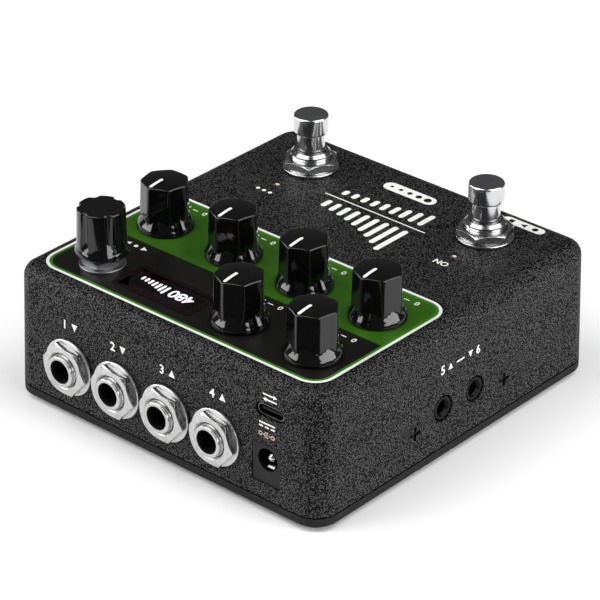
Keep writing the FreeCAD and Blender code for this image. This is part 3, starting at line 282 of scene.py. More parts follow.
def print_marks(name, faces, spot, material, body="case"):
    """Lay flat (u, v) faces on a surface as one thin layer of ink that moves with a body."""
    sheet = bmesh.new()
    for face in faces:
        sheet.faces.new([sheet.verts.new(spot(u, v)) for u, v in face])
    bmesh.ops.remove_doubles(sheet, verts=sheet.verts, dist=INK / 4)
    piece = new_piece(name, sheet, material)
    layer = piece.modifiers.new("layer", "SOLIDIFY")
    layer.thickness = 2 * INK
    layer.offset = -1.0
    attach(piece, body)


def middle(node):
    """Centre of a piece's box."""
    low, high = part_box(node)
    return [(a + b) / 2 for a, b in zip(low, high)]


def turned(points, u, v, turn):
    """Points turned by an angle in degrees and moved to (u, v)."""
    c, s = math.cos(math.radians(turn)), math.sin(math.radians(turn))
    return [(u + x * c - y * s, v + x * s + y * c) for x, y in points]


def quads(rays):
    """Faces between neighbouring pairs of points."""
    return [[a[0], a[1], b[1], b[0]] for a, b in zip(rays, rays[1:])]


def stadium(u, v, length, width, turn=0.0):
    """Faces of a bar with round ends, centred on (u, v)."""
    half = width / 2
    straight = length / 2 - half
    rise = [math.radians(90 * i / ROUND_STEPS) for i in range(ROUND_STEPS + 1)]
    left = [(-straight - half * math.cos(a), half * math.sin(a)) for a in rise]
    top = [(straight * (2 * i / ROUND_STEPS - 1), half) for i in range(1, ROUND_STEPS)]
    right = [(-x, y) for x, y in reversed(left)]
    rays = [turned([(x, -y), (x, y)], u, v, turn) for x, y in left + top + right]
    return [face[::-1] for face in quads(rays)]


def disc(u, v, radius):
    """Faces of a round dot."""
    return stadium(u, v, 2 * radius, 2 * radius)


def arc(u, v, inner, outer, start, end, steps):
    """Pairs of points on two circles round (u, v), between two angles."""
    turns = [math.radians(start + (end - start) * i / steps) for i in range(steps + 1)]
    return [[(u + r * math.cos(a), v + r * math.sin(a)) for r in (inner, outer)] for a in turns]


def ring(u, v, radius, width, start=0, end=360):
    """Faces of a ring, or of an arc of it between two angles."""
    return quads(arc(u, v, radius - width / 2, radius + width / 2, start, end, 4 * ROUND_STEPS))


def edge_line(node, inset, corner, width):
    """Faces of a line with round corners along the edge of a flat piece."""
    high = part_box(node)[1]
    u, v = middle(node)[:2]
    rays = []
    for side_u, side_v, start in ((1, 1, 0), (-1, 1, 90), (-1, -1, 180), (1, -1, 270)):
        hub_u = u + side_u * (high[0] - u - inset - corner)
        hub_v = v + side_v * (high[1] - v - inset - corner)
        rays += arc(hub_u, hub_v, corner - width, corner, start, start + 90, ROUND_STEPS)
    return quads(rays + rays[:1])


def triangle(u, v, size, turn=0.0):
    """Face of an arrow head that points along +u before it is turned."""
    return [turned([(-size / 2, -size / 2), (size / 2, 0), (-size / 2, size / 2)], u, v, turn)]


def letters(text, height, u, v):
    """Faces of plain figures or capitals of a given height, centred on (u, v)."""
    curve = bpy.data.curves.new("figures", "FONT")
    curve.body = text
    curve.size = 1.0
    curve.offset = BOLD
    curve.resolution_u = CURVE_STEPS
    holder = bpy.data.objects.new("figures", curve)
    flat = bpy.data.meshes.new_from_object(holder)
    points = [(corner.co.x, corner.co.y) for corner in flat.vertices]
    low = [min(p[i] for p in points) for i in (0, 1)]
    high = [max(p[i] for p in points) for i in (0, 1)]
    scale = height / (high[1] - low[1])
    hub = [(low[i] + high[i]) / 2 for i in (0, 1)]
    placed = [(u + (x - hub[0]) * scale, v + (y - hub[1]) * scale) for x, y in points]
    faces = [[placed[i] for i in face.vertices] for face in flat.polygons]
    bpy.data.objects.remove(holder)
    bpy.data.curves.remove(curve)
    bpy.data.meshes.remove(flat)
    return faces


def dial_scale(name):
    """Faces of the figures under a dial, from nought to ten with a dash between them."""
    u, v = middle("knob_" + name)[:2]
    v -= SCALE_DROP
    ends = letters("0", FIGURE, u - SCALE_HALF, v) + letters("10", FIGURE, u + SCALE_HALF, v)
    return ends + stadium(u, v, FIGURE, FIGURE / 6)


dress(panel_print(), "panel_overlay")
white_ink = screen_ink("white screen ink", "#e2e2de", "#f2f2ef")
green_ink = screen_ink("green screen ink", "#2a6604", "#377c0a")
on_panel = facing("panel_overlay", EAST, NORTH)
white_line = edge_line("panel_overlay", INK, PANEL_CORNER, BORDER)
green_line = edge_line("panel_overlay", INK + BORDER, PANEL_CORNER - BORDER, BORDER)
print_marks("panel_border", white_line, on_panel, white_ink)
print_marks("panel_fine_line", green_line, on_panel, green_ink)
for name in DIALS:
    print_marks("scale_" + name, dial_scale(name), on_panel, white_ink)


# Window and display
# The window is tinted clear acrylic, flush with the panel. The black display glass lies under
# it on a moulded holder and shows a plain number beside a row of falling bars.

WINDOW_HAZE = 4 * MM
GLASS_SMOKE = 5 * MM
PIXEL_ROWS = 1.2 * MM
WINDOW_BORDER = 1.2 * MM
SCREEN_U = 13.2 * MM
SCREEN_V = 40.3 * MM
SCREEN_WIDTH = 22.4 * MM
SCREEN_DEPTH = 5.6 * MM
NUMBER_HEIGHT = 3.9 * MM
NUMBER_SHIFT = 5.2 * MM
BARS_SHIFT = 5.0 * MM
BARS_DROP = 2.0 * MM
SCREEN_BARS = {"count": 7, "pitch": 1.5 * MM, "width": 0.8 * MM}
SCREEN_BAR_HEIGHT = 4.0 * MM
BAR_FALL = 0.82


def tinted_acrylic():
    """Tinted acrylic with a coat that takes off most of its glare: clear, brown-grey in its depth."""
    material, shader, place = surface("tinted acrylic", Roughness=0.02, IOR=1.25, Specular_IOR_Level=0.1,
                                      Transmission_Weight=1.0)
    haze = add(material, "ShaderNodeTexNoise", {"Vector": place, "Scale": 1 / WINDOW_HAZE})
    link(material, shader, Base_Color=tone(material, haze.outputs["Fac"], "#b0a4a7", "#bcb0b3"))
    return material


def display_glass():
    """Display glass: black under a clean gloss, with a faint smoky cast."""
    material, shader, place = surface("display glass", Roughness=0.08, IOR=1.52, Specular_IOR_Level=0.2)
    smoke = add(material, "ShaderNodeTexNoise", {"Vector": place, "Scale": 1 / GLASS_SMOKE, "Detail": 2.0})
    link(material, shader, Base_Color=tone(material, smoke.outputs["Fac"], "#362227", "#43292f"))
    return material


def lit_pixels():
    """Self-lit display pixels: a cool white glow with faint rows, coarser than real ones to show."""
    material, shader, place = surface("lit display pixels", Roughness=0.3, Emission_Strength=4.0)
    rows = add(material, "ShaderNodeTexWave", {"Vector": place, "Scale": 1 / PIXEL_ROWS},
               bands_direction="Y")
    glow = tone(material, rows.outputs["Fac"], "#d8dce0", "#f6f9ff")
    link(material, shader, Base_Color=glow, Emission_Color=glow)
    return material


def rectangle(u, v, width, height):
    """Face of a rectangle centred on (u, v)."""
    a, b = width / 2, height / 2
    return [[(u - a, v - b), (u + a, v - b), (u + a, v + b), (u - a, v + b)]]


def echo_bars(u, v, height, count, pitch, width):
    """Faces of upright bars that stand on v, each lower than the one before."""
    bars = []
    for i in range(count):
        tall = width + (height - width) * BAR_FALL ** i
        bars += stadium(u + (i - (count - 1) / 2) * pitch, v + tall / 2, tall, width, 90)
    return bars


dress(tinted_acrylic(), "display_window")
dress(display_glass(), "display_module")
black_screen = flat_coat("dark display pixels", "#010101", "#020202")
border_ink = flat_coat("dark brown border ink", "#130b0d", "#181012")
on_glass = facing("display_module", EAST, NORTH)
on_screen = facing("display_module", EAST, NORTH, layers=2)
on_window = facing("display_window", EAST, NORTH)
brown_line = edge_line("display_window", INK, WINDOW_BORDER, WINDOW_BORDER)
readout = letters("480", NUMBER_HEIGHT, SCREEN_U - NUMBER_SHIFT, SCREEN_V)
readout += echo_bars(SCREEN_U + BARS_SHIFT, SCREEN_V - BARS_DROP, SCREEN_BAR_HEIGHT, **SCREEN_BARS)
screen = rectangle(SCREEN_U, SCREEN_V, SCREEN_WIDTH, SCREEN_DEPTH)
print_marks("display_screen", screen, on_glass, black_screen)
print_marks("window_border", brown_line, on_window, border_ink)
print_marks("display_readout", readout, on_screen, lit_pixels())


# Inside
# Four fibreglass boards with green solder mask, brass spacers, plain steel screws, and black
# nylon headers, switch housings and jack housings.

BOARD_WEAVE = 0.8 * MM
MOULD_SKIN = 0.25 * MM
DRAWN_GRAIN = 1 * MM
TURNED_GRAIN = 2 * MM


def solder_mask():
    """Green solder mask over woven fibreglass."""
    material, shader, place = surface("solder-masked fibreglass", Roughness=0.35, IOR=1.5)
    weave = add(material, "ShaderNodeTexNoise", {"Vector": place, "Scale": 1 / BOARD_WEAVE, "Detail": 3.0})
    link(material, shader, Base_Color=tone(material, weave.outputs["Fac"], "#0c3a1c", "#14552b"))
    return material


def bright_metal(name, dark, light, roughness, grain):
    """Metal with a fine cloud of brighter and duller plating."""
    material, shader, place = surface(name, Metallic=1.0, Roughness=roughness)
    noise = add(material, "ShaderNodeTexNoise", {"Vector": place, "Scale": 1 / grain, "Detail": 4.0})
    cloud = noise.outputs["Fac"]
    gloss = add(material, "ShaderNodeMapRange", {"Value": cloud, "From Min": 0.3, "From Max": 0.7,
                                                 "To Min": roughness * 0.8, "To Max": roughness * 1.4})
    link(material, shader, Base_Color=tone(material, cloud, dark, light), Roughness=gloss.outputs["Result"])
    return material


def moulded(name, dark, light, roughness=0.5, shine=0.5):
    """Moulded plastic with a fine matt skin."""
    material, shader, place = surface(name, Roughness=roughness, IOR=1.5, Specular_IOR_Level=shine)
    noise = add(material, "ShaderNodeTexNoise", {"Vector": place, "Scale": 1 / MOULD_SKIN, "Detail": 2.0})
    skin = noise.outputs["Fac"]
    bump = add(material, "ShaderNodeBump", {"Height": skin, "Strength": 0.2, "Distance": 0.03 * MM})
    link(material, shader, Base_Color=tone(material, skin, dark, light), Normal=bump.outputs["Normal"])
    return material


def named(start):
    """Names of the carried-over pieces that start with a word."""
    return [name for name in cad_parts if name.startswith(start)]


black_nylon = moulded("moulded black nylon", "#050505", "#0b0b0c")
plain_steel = bright_metal("plain steel", "#85858a", "#a2a2a6", 0.3, TURNED_GRAIN)
brass = bright_metal("turned brass", "#a98a45", "#c4a55c", 0.25, TURNED_GRAIN)
spring_plate = bright_metal("tin-plated spring contact", "#bdbbb6", "#dad8d4", 0.22, DRAWN_GRAIN)
dress(solder_mask(), "control_board", "main_board", "side_board", "switch_board")
dress(brass, "board_standoffs")
dress(plain_steel, "board_screws", "encoder_body", "encoder_shaft", *named("pot_"), *named("shaft_"),
      *named("footswitch_spring"))
dress(black_nylon, "board_links", "footswitch_cases", "encoder_rotor", *named("jack_body_"))
dress(spring_plate, "jack_contacts")


# Dial knobs
# Seven-sided knobs with a flared round skirt, moulded in black phenolic, polished, and pressed
# on the flatted dial shafts. The pointer is a white line filled into the crown.

POLISH_MARKS = 0.7 * MM
POINTER_WIDTH = 0.9 * MM
POINTER_START = 0.8 * MM
POINTER_END = 6.0 * MM


def polished_phenolic():
    """Polished phenolic: deep black under a clean gloss, with hair-fine handling marks."""
    material, shader, place = surface("polished black phenolic", Roughness=0.06, IOR=1.5)
    noise = add(material, "ShaderNodeTexNoise", {"Vector": place, "Scale": 1 / POLISH_MARKS, "Detail": 6.0})
    marks = noise.outputs["Fac"]
    gloss = add(material, "ShaderNodeMapRange", {"Value": marks, "To Min": 0.03, "To Max": 0.11})
    colour = tone(material, marks, "#060606", "#0b0b0a")
    link(material, shader, Base_Color=colour, Roughness=gloss.outputs["Result"])
    return material


phenolic = polished_phenolic()
for name in DIALS:
    knob = "knob_" + name
    dress(phenolic, knob)
    u, v = middle(knob)[:2]
    v += (POINTER_START + POINTER_END) / 2
    line = stadium(u, v, POINTER_END - POINTER_START, POINTER_WIDTH, 90)
    print_marks("pointer_" + name, line, facing(knob, EAST, NORTH), white_ink, "dial_" + name)


# Select knob
# A taller fluted knob in the same phenolic on the push encoder. The encoder's dull nut and
# washer show below it, and two arrow heads beside a dot on the panel say that it turns.

PLATING_GRAIN = 1.5 * MM
ARROWS_DROP = 13.0 * MM
ARROWS_HALF = 3.2 * MM

dull_zinc = bright_metal("dull zinc plate", "#8c8c8f", "#b0b0b2", 0.36, PLATING_GRAIN)
dress(phenolic, "select_knob")
dress(dull_zinc, "bushing_nuts")
dress(dull_zinc, "encoder_washer", edge=0.12 * MM)
select_u, select_v = middle("select_knob")[:2]
select_v -= ARROWS_DROP
turn_marks = triangle(select_u - ARROWS_HALF, select_v, FIGURE, 180)
turn_marks += triangle(select_u + ARROWS_HALF, select_v, FIGURE)
turn_marks += disc(select_u, select_v, FIGURE / 3)
print_marks("select_arrows", turn_marks, on_panel, white_ink)


# Footswitches
# Nickel-plated threaded bushings with zinc-plated hexagon nuts, washers on thin black seals,
# and heavy chromed buttons with a flat top.

CHROME_GRAIN = 4 * MM
SEAL = 0.3 * MM

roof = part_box("enclosure_shell")[1][2]
polished_nickel = bright_metal("polished nickel plate", "#959595", "#c4c4c3", 0.16, PLATING_GRAIN)
polished_zinc = bright_metal("polished zinc plate", "#adadae", "#d8d8d9", 0.2, PLATING_GRAIN)
chrome = bright_metal("bright chrome plate", "#c3c4c6", "#dcdcde", 0.13, CHROME_GRAIN)
dress(polished_nickel, "footswitch_bushings")
dress(polished_zinc, "footswitch_nuts", edge=0.35 * MM)
dress(polished_zinc, "footswitch_washers", edge=0.32 * MM)
recolour("footswitch_washers", black_nylon, lambda centre: centre.z < roof + SEAL + INK)
dress(chrome, "footswitch_plunger_left", "footswitch_plunger_right")


# Indicator lights
# Light pipes of cast resin a little below the roof, each ending in a small domed lens. The warm
# resin is dark, with a pale spot a little off the lens's middle painted on as a painted highlight.

RESIN_CLOUD = 0.8 * MM
LENS_RADIUS = 1.1 * MM
LENS_RISE = 0.35 * MM
FLANGE_RADIUS = 2.2 * MM
HIGHLIGHT_RADIUS = 0.6 * MM
HIGHLIGHT_X, HIGHLIGHT_Y = -0.3 * MM, -0.25 * MM


def cast_resin(name, dark, light):
    """Cast resin: a clean gloss over a slightly cloudy depth."""
    material, shader, place = surface(name, Roughness=0.05, IOR=1.5)
    depth = add(material, "ShaderNodeTexNoise", {"Vector": place, "Scale": 1 / RESIN_CLOUD, "Detail": 2.0})
    link(material, shader, Base_Color=tone(material, depth.outputs["Fac"], dark, light))
    return material


def lens(name, x, y, z):
    """Domed lens on the end of a light pipe."""
    ball = (LENS_RADIUS ** 2 + LENS_RISE ** 2) / (2 * LENS_RISE)
    turns = [math.radians(90 * k / ROUND_STEPS) for k in range(4 * ROUND_STEPS)]
    shape = bmesh.new()
    rings = []
    for i in range(1, ROUND_STEPS + 1):
        r = LENS_RADIUS * i / ROUND_STEPS
        h = z + LENS_RISE - ball + math.sqrt(ball ** 2 - r ** 2)
        rings.append([shape.verts.new((x + r * math.cos(a), y + r * math.sin(a), h)) for a in turns])
    top = shape.verts.new((x, y, z + LENS_RISE))
    for a, b in zip(rings[0], rings[0][1:] + rings[0][:1]):
        shape.faces.new([top, a, b])
    for inner, outer in zip(rings, rings[1:]):
        for k in range(len(inner)):
            following = (k + 1) % len(inner)
            shape.faces.new([inner[k], outer[k], outer[following], inner[following]])
    shape.faces.new(rings[-1][::-1])
    piece = new_piece(name, shape, dark_resin)
    piece.data.shade_smooth()
    piece.data.materials.append(painted_lens_highlight)
    # Faces near a point a little off the middle get the pale colour: a painted highlight.
    for face in piece.data.polygons:
        if math.hypot(face.center.x - x - HIGHLIGHT_X, face.center.y - y - HIGHLIGHT_Y) < HIGHLIGHT_RADIUS:
            face.material_index = 1
    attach(piece, "case")


dark_resin = cast_resin("warm resin rim", "#2c2019", "#75604f")
painted_lens_highlight = cast_resin("painted highlight on the lens", "#bca697", "#dccfc4")
dress(dark_resin, "light_pipes")
pipe_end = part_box("light_pipes")[1]
light_x, light_y = pipe_end[0] - FLANGE_RADIUS, middle("light_pipes")[1]
lens("lens_left", -light_x, light_y, pipe_end[2])
lens("lens_right", light_x, light_y, pipe_end[2])


# Big jacks
# Four nickel-plated bushings with hexagon nuts and broad washers, each screwed against a spot
# face on the far wall. The wall of each bore is coloured black nylon: painted shade in the hole.

BORE = 3.4 * MM

nickel = bright_metal("bright nickel plate", "#a2a2a2", "#d6d6d5", 0.22, PLATING_GRAIN)
zinc = bright_metal("satin zinc plate", "#b4b4b5", "#dededf", 0.3, PLATING_GRAIN)
jack_axes = [middle(name)[::2] for name in named("jack_body_")]


def in_bore(centre):
    """Whether a face lies inside the bore of a big jack."""
    return any(math.hypot(centre.x - x, centre.z - z) < BORE for x, z in jack_axes)


dress(nickel, "jack_bushings", edge=0.15 * MM)
# The bore's wall is coloured black: painted shade inside the deep hole.
recolour("jack_bushings", black_nylon, in_bore)
dress(nickel, "jack_nuts", edge=0.12 * MM)
dress(zinc, "jack_washers", edge=0.08 * MM)


# Inlet
# The DC inlet has a smooth moulded face, black with a faint blue cast and flush with the wall.
# Its contacts are plated, and the nose of its sleeve spring bows up inside the hole.

NOSE_WIDTH = 2.1 * MM
NOSE_SINK = 1.4 * MM
NOSE_LENGTH = 3.4 * MM
NOSE_RISE = 0.9 * MM
NOSE_THICKNESS = 0.35 * MM


def sleeve_nose(name, x, y, z):
    """Nose of the inlet's sleeve spring: a thin blade that bows up out of the hole's bottom."""
    blade = bmesh.new()
    rows = []
    for i in range(ROUND_STEPS + 1):
        share = i / ROUND_STEPS
        back = y - NOSE_LENGTH * (1 - share)
        rise = z + 2 * INK + NOSE_RISE * math.sin(math.pi * share) * share
        rows.append([blade.verts.new((x + side * NOSE_WIDTH / 2, back, rise)) for side in (-1, 1)])
    for corners in quads(rows):
        blade.faces.new(corners)
    piece = new_piece(name, blade, spring_plate)
    sheet = piece.modifiers.new("sheet", "SOLIDIFY")
    sheet.thickness = NOSE_THICKNESS
    sheet.offset = 1.0
    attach(piece, "case")


socket_face = moulded("smooth moulded socket face", "#08090c", "#0e0f13", 0.45, 0.25)
dress(socket_face, "dc_socket")
dress(spring_plate, "dc_contacts")
wall_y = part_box("dc_socket")[1][1]
contacts_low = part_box("dc_contacts")[0]
sleeve_nose("inlet_spring", contacts_low[0] + NOSE_WIDTH / 2, wall_y - NOSE_SINK, contacts_low[2])


# Data socket
# A shell drawn from steel sheet, with rounded edges and ends, round a moulded black tongue. It
# stands on a board inside and looks out through a slot in the far wall.

TONGUE_WIDTH = 6.8 * MM
TONGUE_DEPTH = 0.8 * MM

data_x, data_z = middle("usb_socket")[::2]


def on_tongue(centre):
    """Whether a face belongs to the tongue in the data socket."""
    return abs(centre.z - data_z) < TONGUE_DEPTH / 2 and abs(centre.x - data_x) < TONGUE_WIDTH / 2


drawn_steel = bright_metal("drawn steel", "#5c5c5f", "#79797d", 0.25, DRAWN_GRAIN)
dress(drawn_steel, "usb_socket", edge=0.08 * MM)
recolour("usb_socket", socket_face, on_tongue)


# Side jacks and screws
# Two moulded 3.5 mm jacks whose black noses sit in the wall, between two countersunk screws
# that were coated together with the shell; their cross recesses are painted black as painted shade.

RECESS_START = 0.15 * MM

glossy_nylon = moulded("glossy black nylon", "#030303", "#070707", 0.3, 0.12)
black_oxide_and_recess_shade = moulded("black oxide steel and painted recess shade", "#020202", "#050505", 0.5, 0.25)
head_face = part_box("side_screws")[0][0]
dress(glossy_nylon, "side_jacks")
dress(sand, "side_screws")
# Faces deeper than the head's face, in the cross recess, are coloured black: painted shade.
recolour("side_screws", black_oxide_and_recess_shade, lambda centre: centre.x > head_face + RECESS_START)
dress(black_oxide_and_recess_shade, "base_screws")


# Marks on the walls
# Ink screen-printed on the powder coat: a figure and an arrow at each jack, two arrows over the
# data socket, and the direct-current and centre-polarity signs over the inlet.

MARK = 2.6 * MM
STROKE = 0.42 * MM
FINE_STROKE = 0.28 * MM
JACK_MARK_Z = 28.5 * MM
JACK_MARK_HALF = 1.8 * MM
JACK_ARROW = MARK * 0.8
ARROWS_DOWN = 2
DATA_MARK_Z = 34.5 * MM
DATA_ARROW = 3.6 * MM
DATA_HEAD = 1.2 * MM
DATA_GAP = 1.4 * MM
POWER_MARK_Z = 26.2 * MM
POWER_GAP = 1.0 * MM
POWER_LINE = 5.4 * MM
POWER_DASH = 1.4 * MM
POLARITY_Z = 23.4 * MM
CENTRE_DOT = 0.28 * MM
OPEN_RING = 0.72 * MM
END_RING = 0.5 * MM
END_RING_U = 2.1 * MM
LINK_LENGTH = 0.9 * MM
LINK_U = 1.15 * MM
SIDE_MARK_Z = 27.6 * MM
SIDE_DASH = 3.2 * MM
SIDE_ARROW = MARK * 0.7
SIDE_ARROW_U = 4.2 * MM
SIDE_FIGURE_U = 7.4 * MM


def jack_marks():
    """Faces of a figure and an arrow head over each big jack, into or out of the case."""
    faces = []
    for i, (x, z) in enumerate(jack_axes):
        points = -90 if i < ARROWS_DOWN else 90
        faces += letters(str(i + 1), MARK, -x - JACK_MARK_HALF, JACK_MARK_Z)
        faces += triangle(-x + JACK_MARK_HALF, JACK_MARK_Z, JACK_ARROW, points)
    return faces


def data_marks(u):
    """Faces of two arrows, one each way, over the data socket."""
    faces = []
    for side, points in ((-1, 180), (1, 0)):
        v = DATA_MARK_Z + side * DATA_GAP / 2
        faces += stadium(u - side * DATA_HEAD / 2, v, DATA_ARROW, STROKE)
        faces += triangle(u + side * DATA_ARROW / 2, v, DATA_HEAD, points)
    return faces


def power_marks(u):
    """Faces of the direct-current sign: a line over three dashes."""
    faces = stadium(u, POWER_MARK_Z + POWER_GAP / 2, POWER_LINE, STROKE)
    for i in (-1, 0, 1):
        dash_u = u + i * (POWER_LINE - POWER_DASH) / 2
        faces += stadium(dash_u, POWER_MARK_Z - POWER_GAP / 2, POWER_DASH, STROKE)
    return faces


def polarity_marks(u):
    """Faces of the centre-polarity sign: a dot in an open ring between two rings on a line."""
    faces = disc(u, POLARITY_Z, CENTRE_DOT) + ring(u, POLARITY_Z, OPEN_RING, FINE_STROKE, 45, 315)
    for side in (-1, 1):
        faces += ring(u + side * END_RING_U, POLARITY_Z, END_RING, FINE_STROKE)
        faces += stadium(u + side * LINK_U, POLARITY_Z, LINK_LENGTH, FINE_STROKE)
    return faces


def side_marks():
    """Faces of a figure and an arrow for each small jack, with a dash between them."""
    faces = stadium(0, SIDE_MARK_Z, SIDE_DASH, STROKE)
    for side, figure in ((-1, "5"), (1, "6")):
        faces += letters(figure, MARK, side * SIDE_FIGURE_U, SIDE_MARK_Z)
        faces += triangle(side * SIDE_ARROW_U, SIDE_MARK_Z, SIDE_ARROW, -90 * side)
    return faces


inlet_u = -middle("dc_socket")[0]
thin_ink = screen_ink("thin white ink", "#b89c92", "#cdb4aa")
on_far_wall = facing("enclosure_shell", -EAST, UP)
on_side_wall = facing("enclosure_shell", -NORTH, UP)
print_marks("socket_marks", jack_marks(), on_far_wall, white_ink)
print_marks("data_marks", data_marks(-data_x), on_far_wall, white_ink)
print_marks("power_marks", power_marks(inlet_u), on_far_wall, white_ink)
print_marks("polarity_marks", polarity_marks(inlet_u), on_far_wall, thin_ink)
print_marks("side_marks", side_marks(), on_side_wall, white_ink)


# Marks on the roof
# White ink on the powder coat, with black ink over it: a plain design of falling bars between
# the footswitches, two rounded plates with small signs, and a mark at each indicator light.

ROOF_BARS = {"count": 9, "pitch": 3.4 * MM, "width": 1.7 * MM}
UPPER_BAR_HEIGHT = 14.0 * MM
LOWER_BAR_HEIGHT = 7.0 * MM
RULE_LENGTH = 36.0 * MM
RULE_V = -29.4 * MM
RULE_GAP = 2.4 * MM
DOT_PLATE_V = -44.8 * MM
DOT_PLATE_LENGTH = 18.0 * MM
DOT_PLATE_WIDTH = 4.4 * MM
DOT_COUNT = 5
DOT_PITCH = 3.2 * MM
DOT_RADIUS = 1.15 * MM
SIGN_PLATE_U, SIGN_PLATE_V = -35.3 * MM, -50.9 * MM
SIGN_PLATE_LENGTH = 14.0 * MM
SIGN_PLATE_WIDTH = 3.2 * MM
SIGN_PITCH = 4.0 * MM
RECORD_RADIUS = 0.9 * MM
PLAY_SIZE = 1.9 * MM
STOP_SIZE = 1.6 * MM
LIGHT_MARK_RISE = 5.2 * MM
ON_HEIGHT = 2.2 * MM
BEAT_PITCH = 2.2 * MM
BEAT_RADIUS = 0.6 * MM


def roof_design():
    """Faces of falling bars over a rule, the same bars smaller below it, and two rounded plates."""
    faces = echo_bars(0, RULE_V + RULE_GAP, UPPER_BAR_HEIGHT, **ROOF_BARS)
    faces += stadium(0, RULE_V, RULE_LENGTH, STROKE)
    for face in echo_bars(0, RULE_GAP - RULE_V, LOWER_BAR_HEIGHT, **ROOF_BARS):
        faces.append([(u, -v) for u, v in reversed(face)])
    faces += stadium(0, DOT_PLATE_V, DOT_PLATE_LENGTH, DOT_PLATE_WIDTH)
    return faces + stadium(SIGN_PLATE_U, SIGN_PLATE_V, SIGN_PLATE_LENGTH, SIGN_PLATE_WIDTH)


def plate_marks():
    """Faces of the dark signs: dots of falling size, and a dot, an arrow head and a square."""
    faces = []
    for i in range(DOT_COUNT):
        dot_u = (i - (DOT_COUNT - 1) / 2) * DOT_PITCH
        faces += disc(dot_u, DOT_PLATE_V, DOT_RADIUS * BAR_FALL ** i)
    faces += disc(SIGN_PLATE_U - SIGN_PITCH, SIGN_PLATE_V, RECORD_RADIUS)
    faces += triangle(SIGN_PLATE_U, SIGN_PLATE_V, PLAY_SIZE)
    return faces + rectangle(SIGN_PLATE_U + SIGN_PITCH, SIGN_PLATE_V, STOP_SIZE, STOP_SIZE)


def beat_marks(u, v):
    """Faces of three dots in a row."""
    return [face for i in (-1, 0, 1) for face in disc(u + i * BEAT_PITCH, v, BEAT_RADIUS)]


black_ink = screen_ink("black screen ink", "#0b0b0b", "#141414")
on_roof = facing("enclosure_shell", EAST, NORTH)
over_ink = facing("enclosure_shell", EAST, NORTH, layers=2)
mark_v = light_y + LIGHT_MARK_RISE
print_marks("on_mark", letters("ON", ON_HEIGHT, -light_x, mark_v), on_roof, white_ink)
print_marks("beat_mark", beat_marks(light_x, mark_v), on_roof, white_ink)
print_marks("roof_design", roof_design(), on_roof, white_ink)
print_marks("plate_marks", plate_marks(), over_ink, black_ink)


# Floor
# A pale board that the pedal stands on, and a black card lying on it in front of the picture,
# which keeps the faces that look at the camera dark, as it does in product photography.

FLOOR_CLOUD = 333 * MM
FLOOR_SIZE = 6.0
CAMERA_AZIMUTH = 220.902
CARD_FIBRE = 2 * MM
CARD_START = 111 * MM
CARD_SIZE = 2.6
CARD_LIFT = 0.5 * MM


def back_of(azimuth, elevation):
    """Unit vector from the object towards a viewer; azimuth 0 looks along +Y."""
    a, e = math.radians(azimuth), math.radians(elevation)
    return Vector((math.sin(a) * math.cos(e), -math.cos(a) * math.cos(e), math.sin(e)))


def stage_sheet(name, material, corners):
    """Flat four-cornered sheet that isn't part of the pedal."""
    mesh = bpy.data.meshes.new(name)
    mesh.from_pydata(corners, [], [(0, 1, 2, 3)])
    mesh.materials.append(material)
    sheet = bpy.data.objects.new(name, mesh)
    bpy.context.scene.collection.objects.link(sheet)
    return sheet


def pale_floor():
    """Large smooth sheet that the pedal stands on."""
    material, shader, place = surface("matt pale board", Roughness=0.8)
    tint = add(material, "ShaderNodeTexNoise", {"Vector": place, "Scale": 1 / FLOOR_CLOUD})
    link(material, shader, Base_Color=tone(material, tint.outputs["Fac"], "#f8f8f8", "#fdfdfd"))
    half = FLOOR_SIZE / 2
    stage_sheet("floor", material, [(-half, -half, 0), (half, -half, 0), (half, half, 0), (-half, half, 0)])


def black_card():
    """Black card flat on the floor, just in front of the picture, that only reflections show."""
    material, shader, place = surface("matt black card", Roughness=0.9)
    fibres = add(material, "ShaderNodeTexNoise", {"Vector": place, "Scale": 1 / CARD_FIBRE, "Detail": 3.0})
    link(material, shader, Base_Color=tone(material, fibres.outputs["Fac"], "#0c0c0c", "#161616"))
    front = back_of(CAMERA_AZIMUTH, 0)
    along = UP.cross(front)
    near, far, half = CARD_START, CARD_START + CARD_SIZE, CARD_SIZE / 2
    corners = [front * reach + along * side + UP * CARD_LIFT
               for reach, side in ((near, -half), (far, -half), (far, half), (near, half))]
    card = stage_sheet("black card", material, corners)
    card.visible_camera = False
    card.visible_shadow = False
    card.visible_diffuse = False


pale_floor()
black_card()


# Camera
# It stands at the photograph's place, over the corner between the far wall and the left wall,
# with a long lens. Its numbers come from a fit to the edges of the case.

CAMERA_ELEVATION = 29.357
CAMERA_ROLL = 0.397
CAMERA_DISTANCE = 876.54 * MM
CAMERA_RIGHT = -1.043 * MM
CAMERA_UP = 20.651 * MM
CAMERA_LENS = 190.454
SENSOR = 36.0
NEAREST, FARTHEST = 0.05, 20.0
MAT_THICKNESS = 1.5 * MM


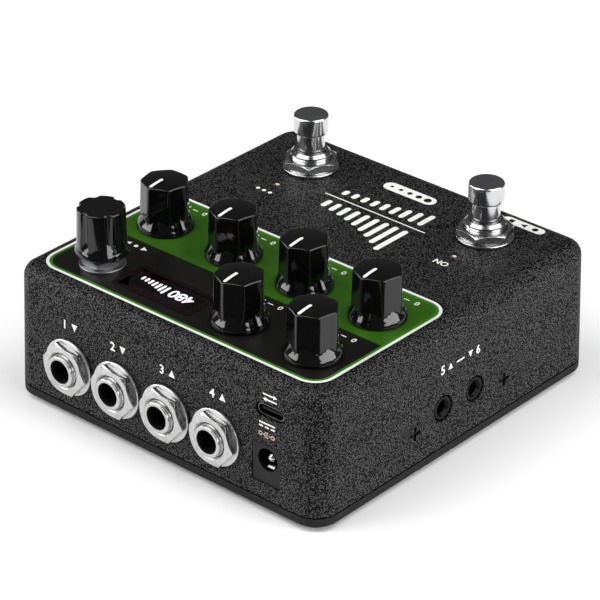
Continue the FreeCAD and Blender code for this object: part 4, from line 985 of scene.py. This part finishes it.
def photo_camera():
    """Camera at the photograph's place, turned, tilted and rolled as it was."""
    back = back_of(CAMERA_AZIMUTH, CAMERA_ELEVATION)
    a, r = math.radians(CAMERA_AZIMUTH), math.radians(CAMERA_ROLL)
    flat = Vector((math.cos(a), math.sin(a), 0))
    rise = back.cross(flat)
    right = flat * math.cos(r) + rise * math.sin(r)
    up = rise * math.cos(r) - flat * math.sin(r)
    spot = right * CAMERA_RIGHT + up * CAMERA_UP + back * CAMERA_DISTANCE + UP * MAT_THICKNESS
    data = bpy.data.cameras.new("photo camera")
    data.lens = CAMERA_LENS
    data.sensor_width = SENSOR
    data.clip_start, data.clip_end = NEAREST, FARTHEST
    camera = bpy.data.objects.new("photo camera", data)
    turn = Matrix((right, up, back)).transposed()
    camera.matrix_world = Matrix.Translation(spot) @ turn.to_4x4()
    bpy.context.scene.collection.objects.link(camera)
    bpy.context.scene.camera = camera


photo_camera()


# Lights
# Two large soft boxes stand high at the sides, with a dark gap between them over the camera.
# Two low boxes draw the bright patches on the knob skirts, and the air gives a dim even light.

UPPER_SPREAD = 78
UPPER_BOX = {"elevation": 55, "distance": 1.3, "width": 1.05, "height": 1.2, "power": 11.0}
LOW_LEFT, LOW_RIGHT = 131, 277
LOW_BOX = {"elevation": 16.5, "distance": 0.9, "width": 1.05, "height": 0.28, "power": 6.0}
AIM_HEIGHT = 30 * MM
AIR_LIGHT = 0.09


def soft_box(name, azimuth, elevation, distance, width, height, power):
    """Rectangular area light that faces the middle of the pedal."""
    back = back_of(azimuth, elevation)
    data = bpy.data.lights.new(name, "AREA")
    data.shape = "RECTANGLE"
    data.size, data.size_y = width, height
    data.energy = power
    light = bpy.data.objects.new(name, data)
    light.location = back * distance + UP * AIM_HEIGHT
    light.rotation_mode = "QUATERNION"
    light.rotation_quaternion = back.to_track_quat("Z", "Y")
    bpy.context.scene.collection.objects.link(light)


def studio_air():
    """Dim even light from all round."""
    world = bpy.data.worlds.new("studio air")
    world.use_nodes = True
    air = world.node_tree.nodes["Background"]
    air.inputs["Color"].default_value = linear("#ffffff")
    air.inputs["Strength"].default_value = AIR_LIGHT
    bpy.context.scene.world = world


soft_box("left box", LOW_LEFT, **LOW_BOX)
soft_box("right box", LOW_RIGHT, **LOW_BOX)
soft_box("upper left box", CAMERA_AZIMUTH - UPPER_SPREAD, **UPPER_BOX)
soft_box("upper right box", CAMERA_AZIMUTH + UPPER_SPREAD, **UPPER_BOX)
studio_air()
bpy.context.scene.view_settings.view_transform = "Standard"
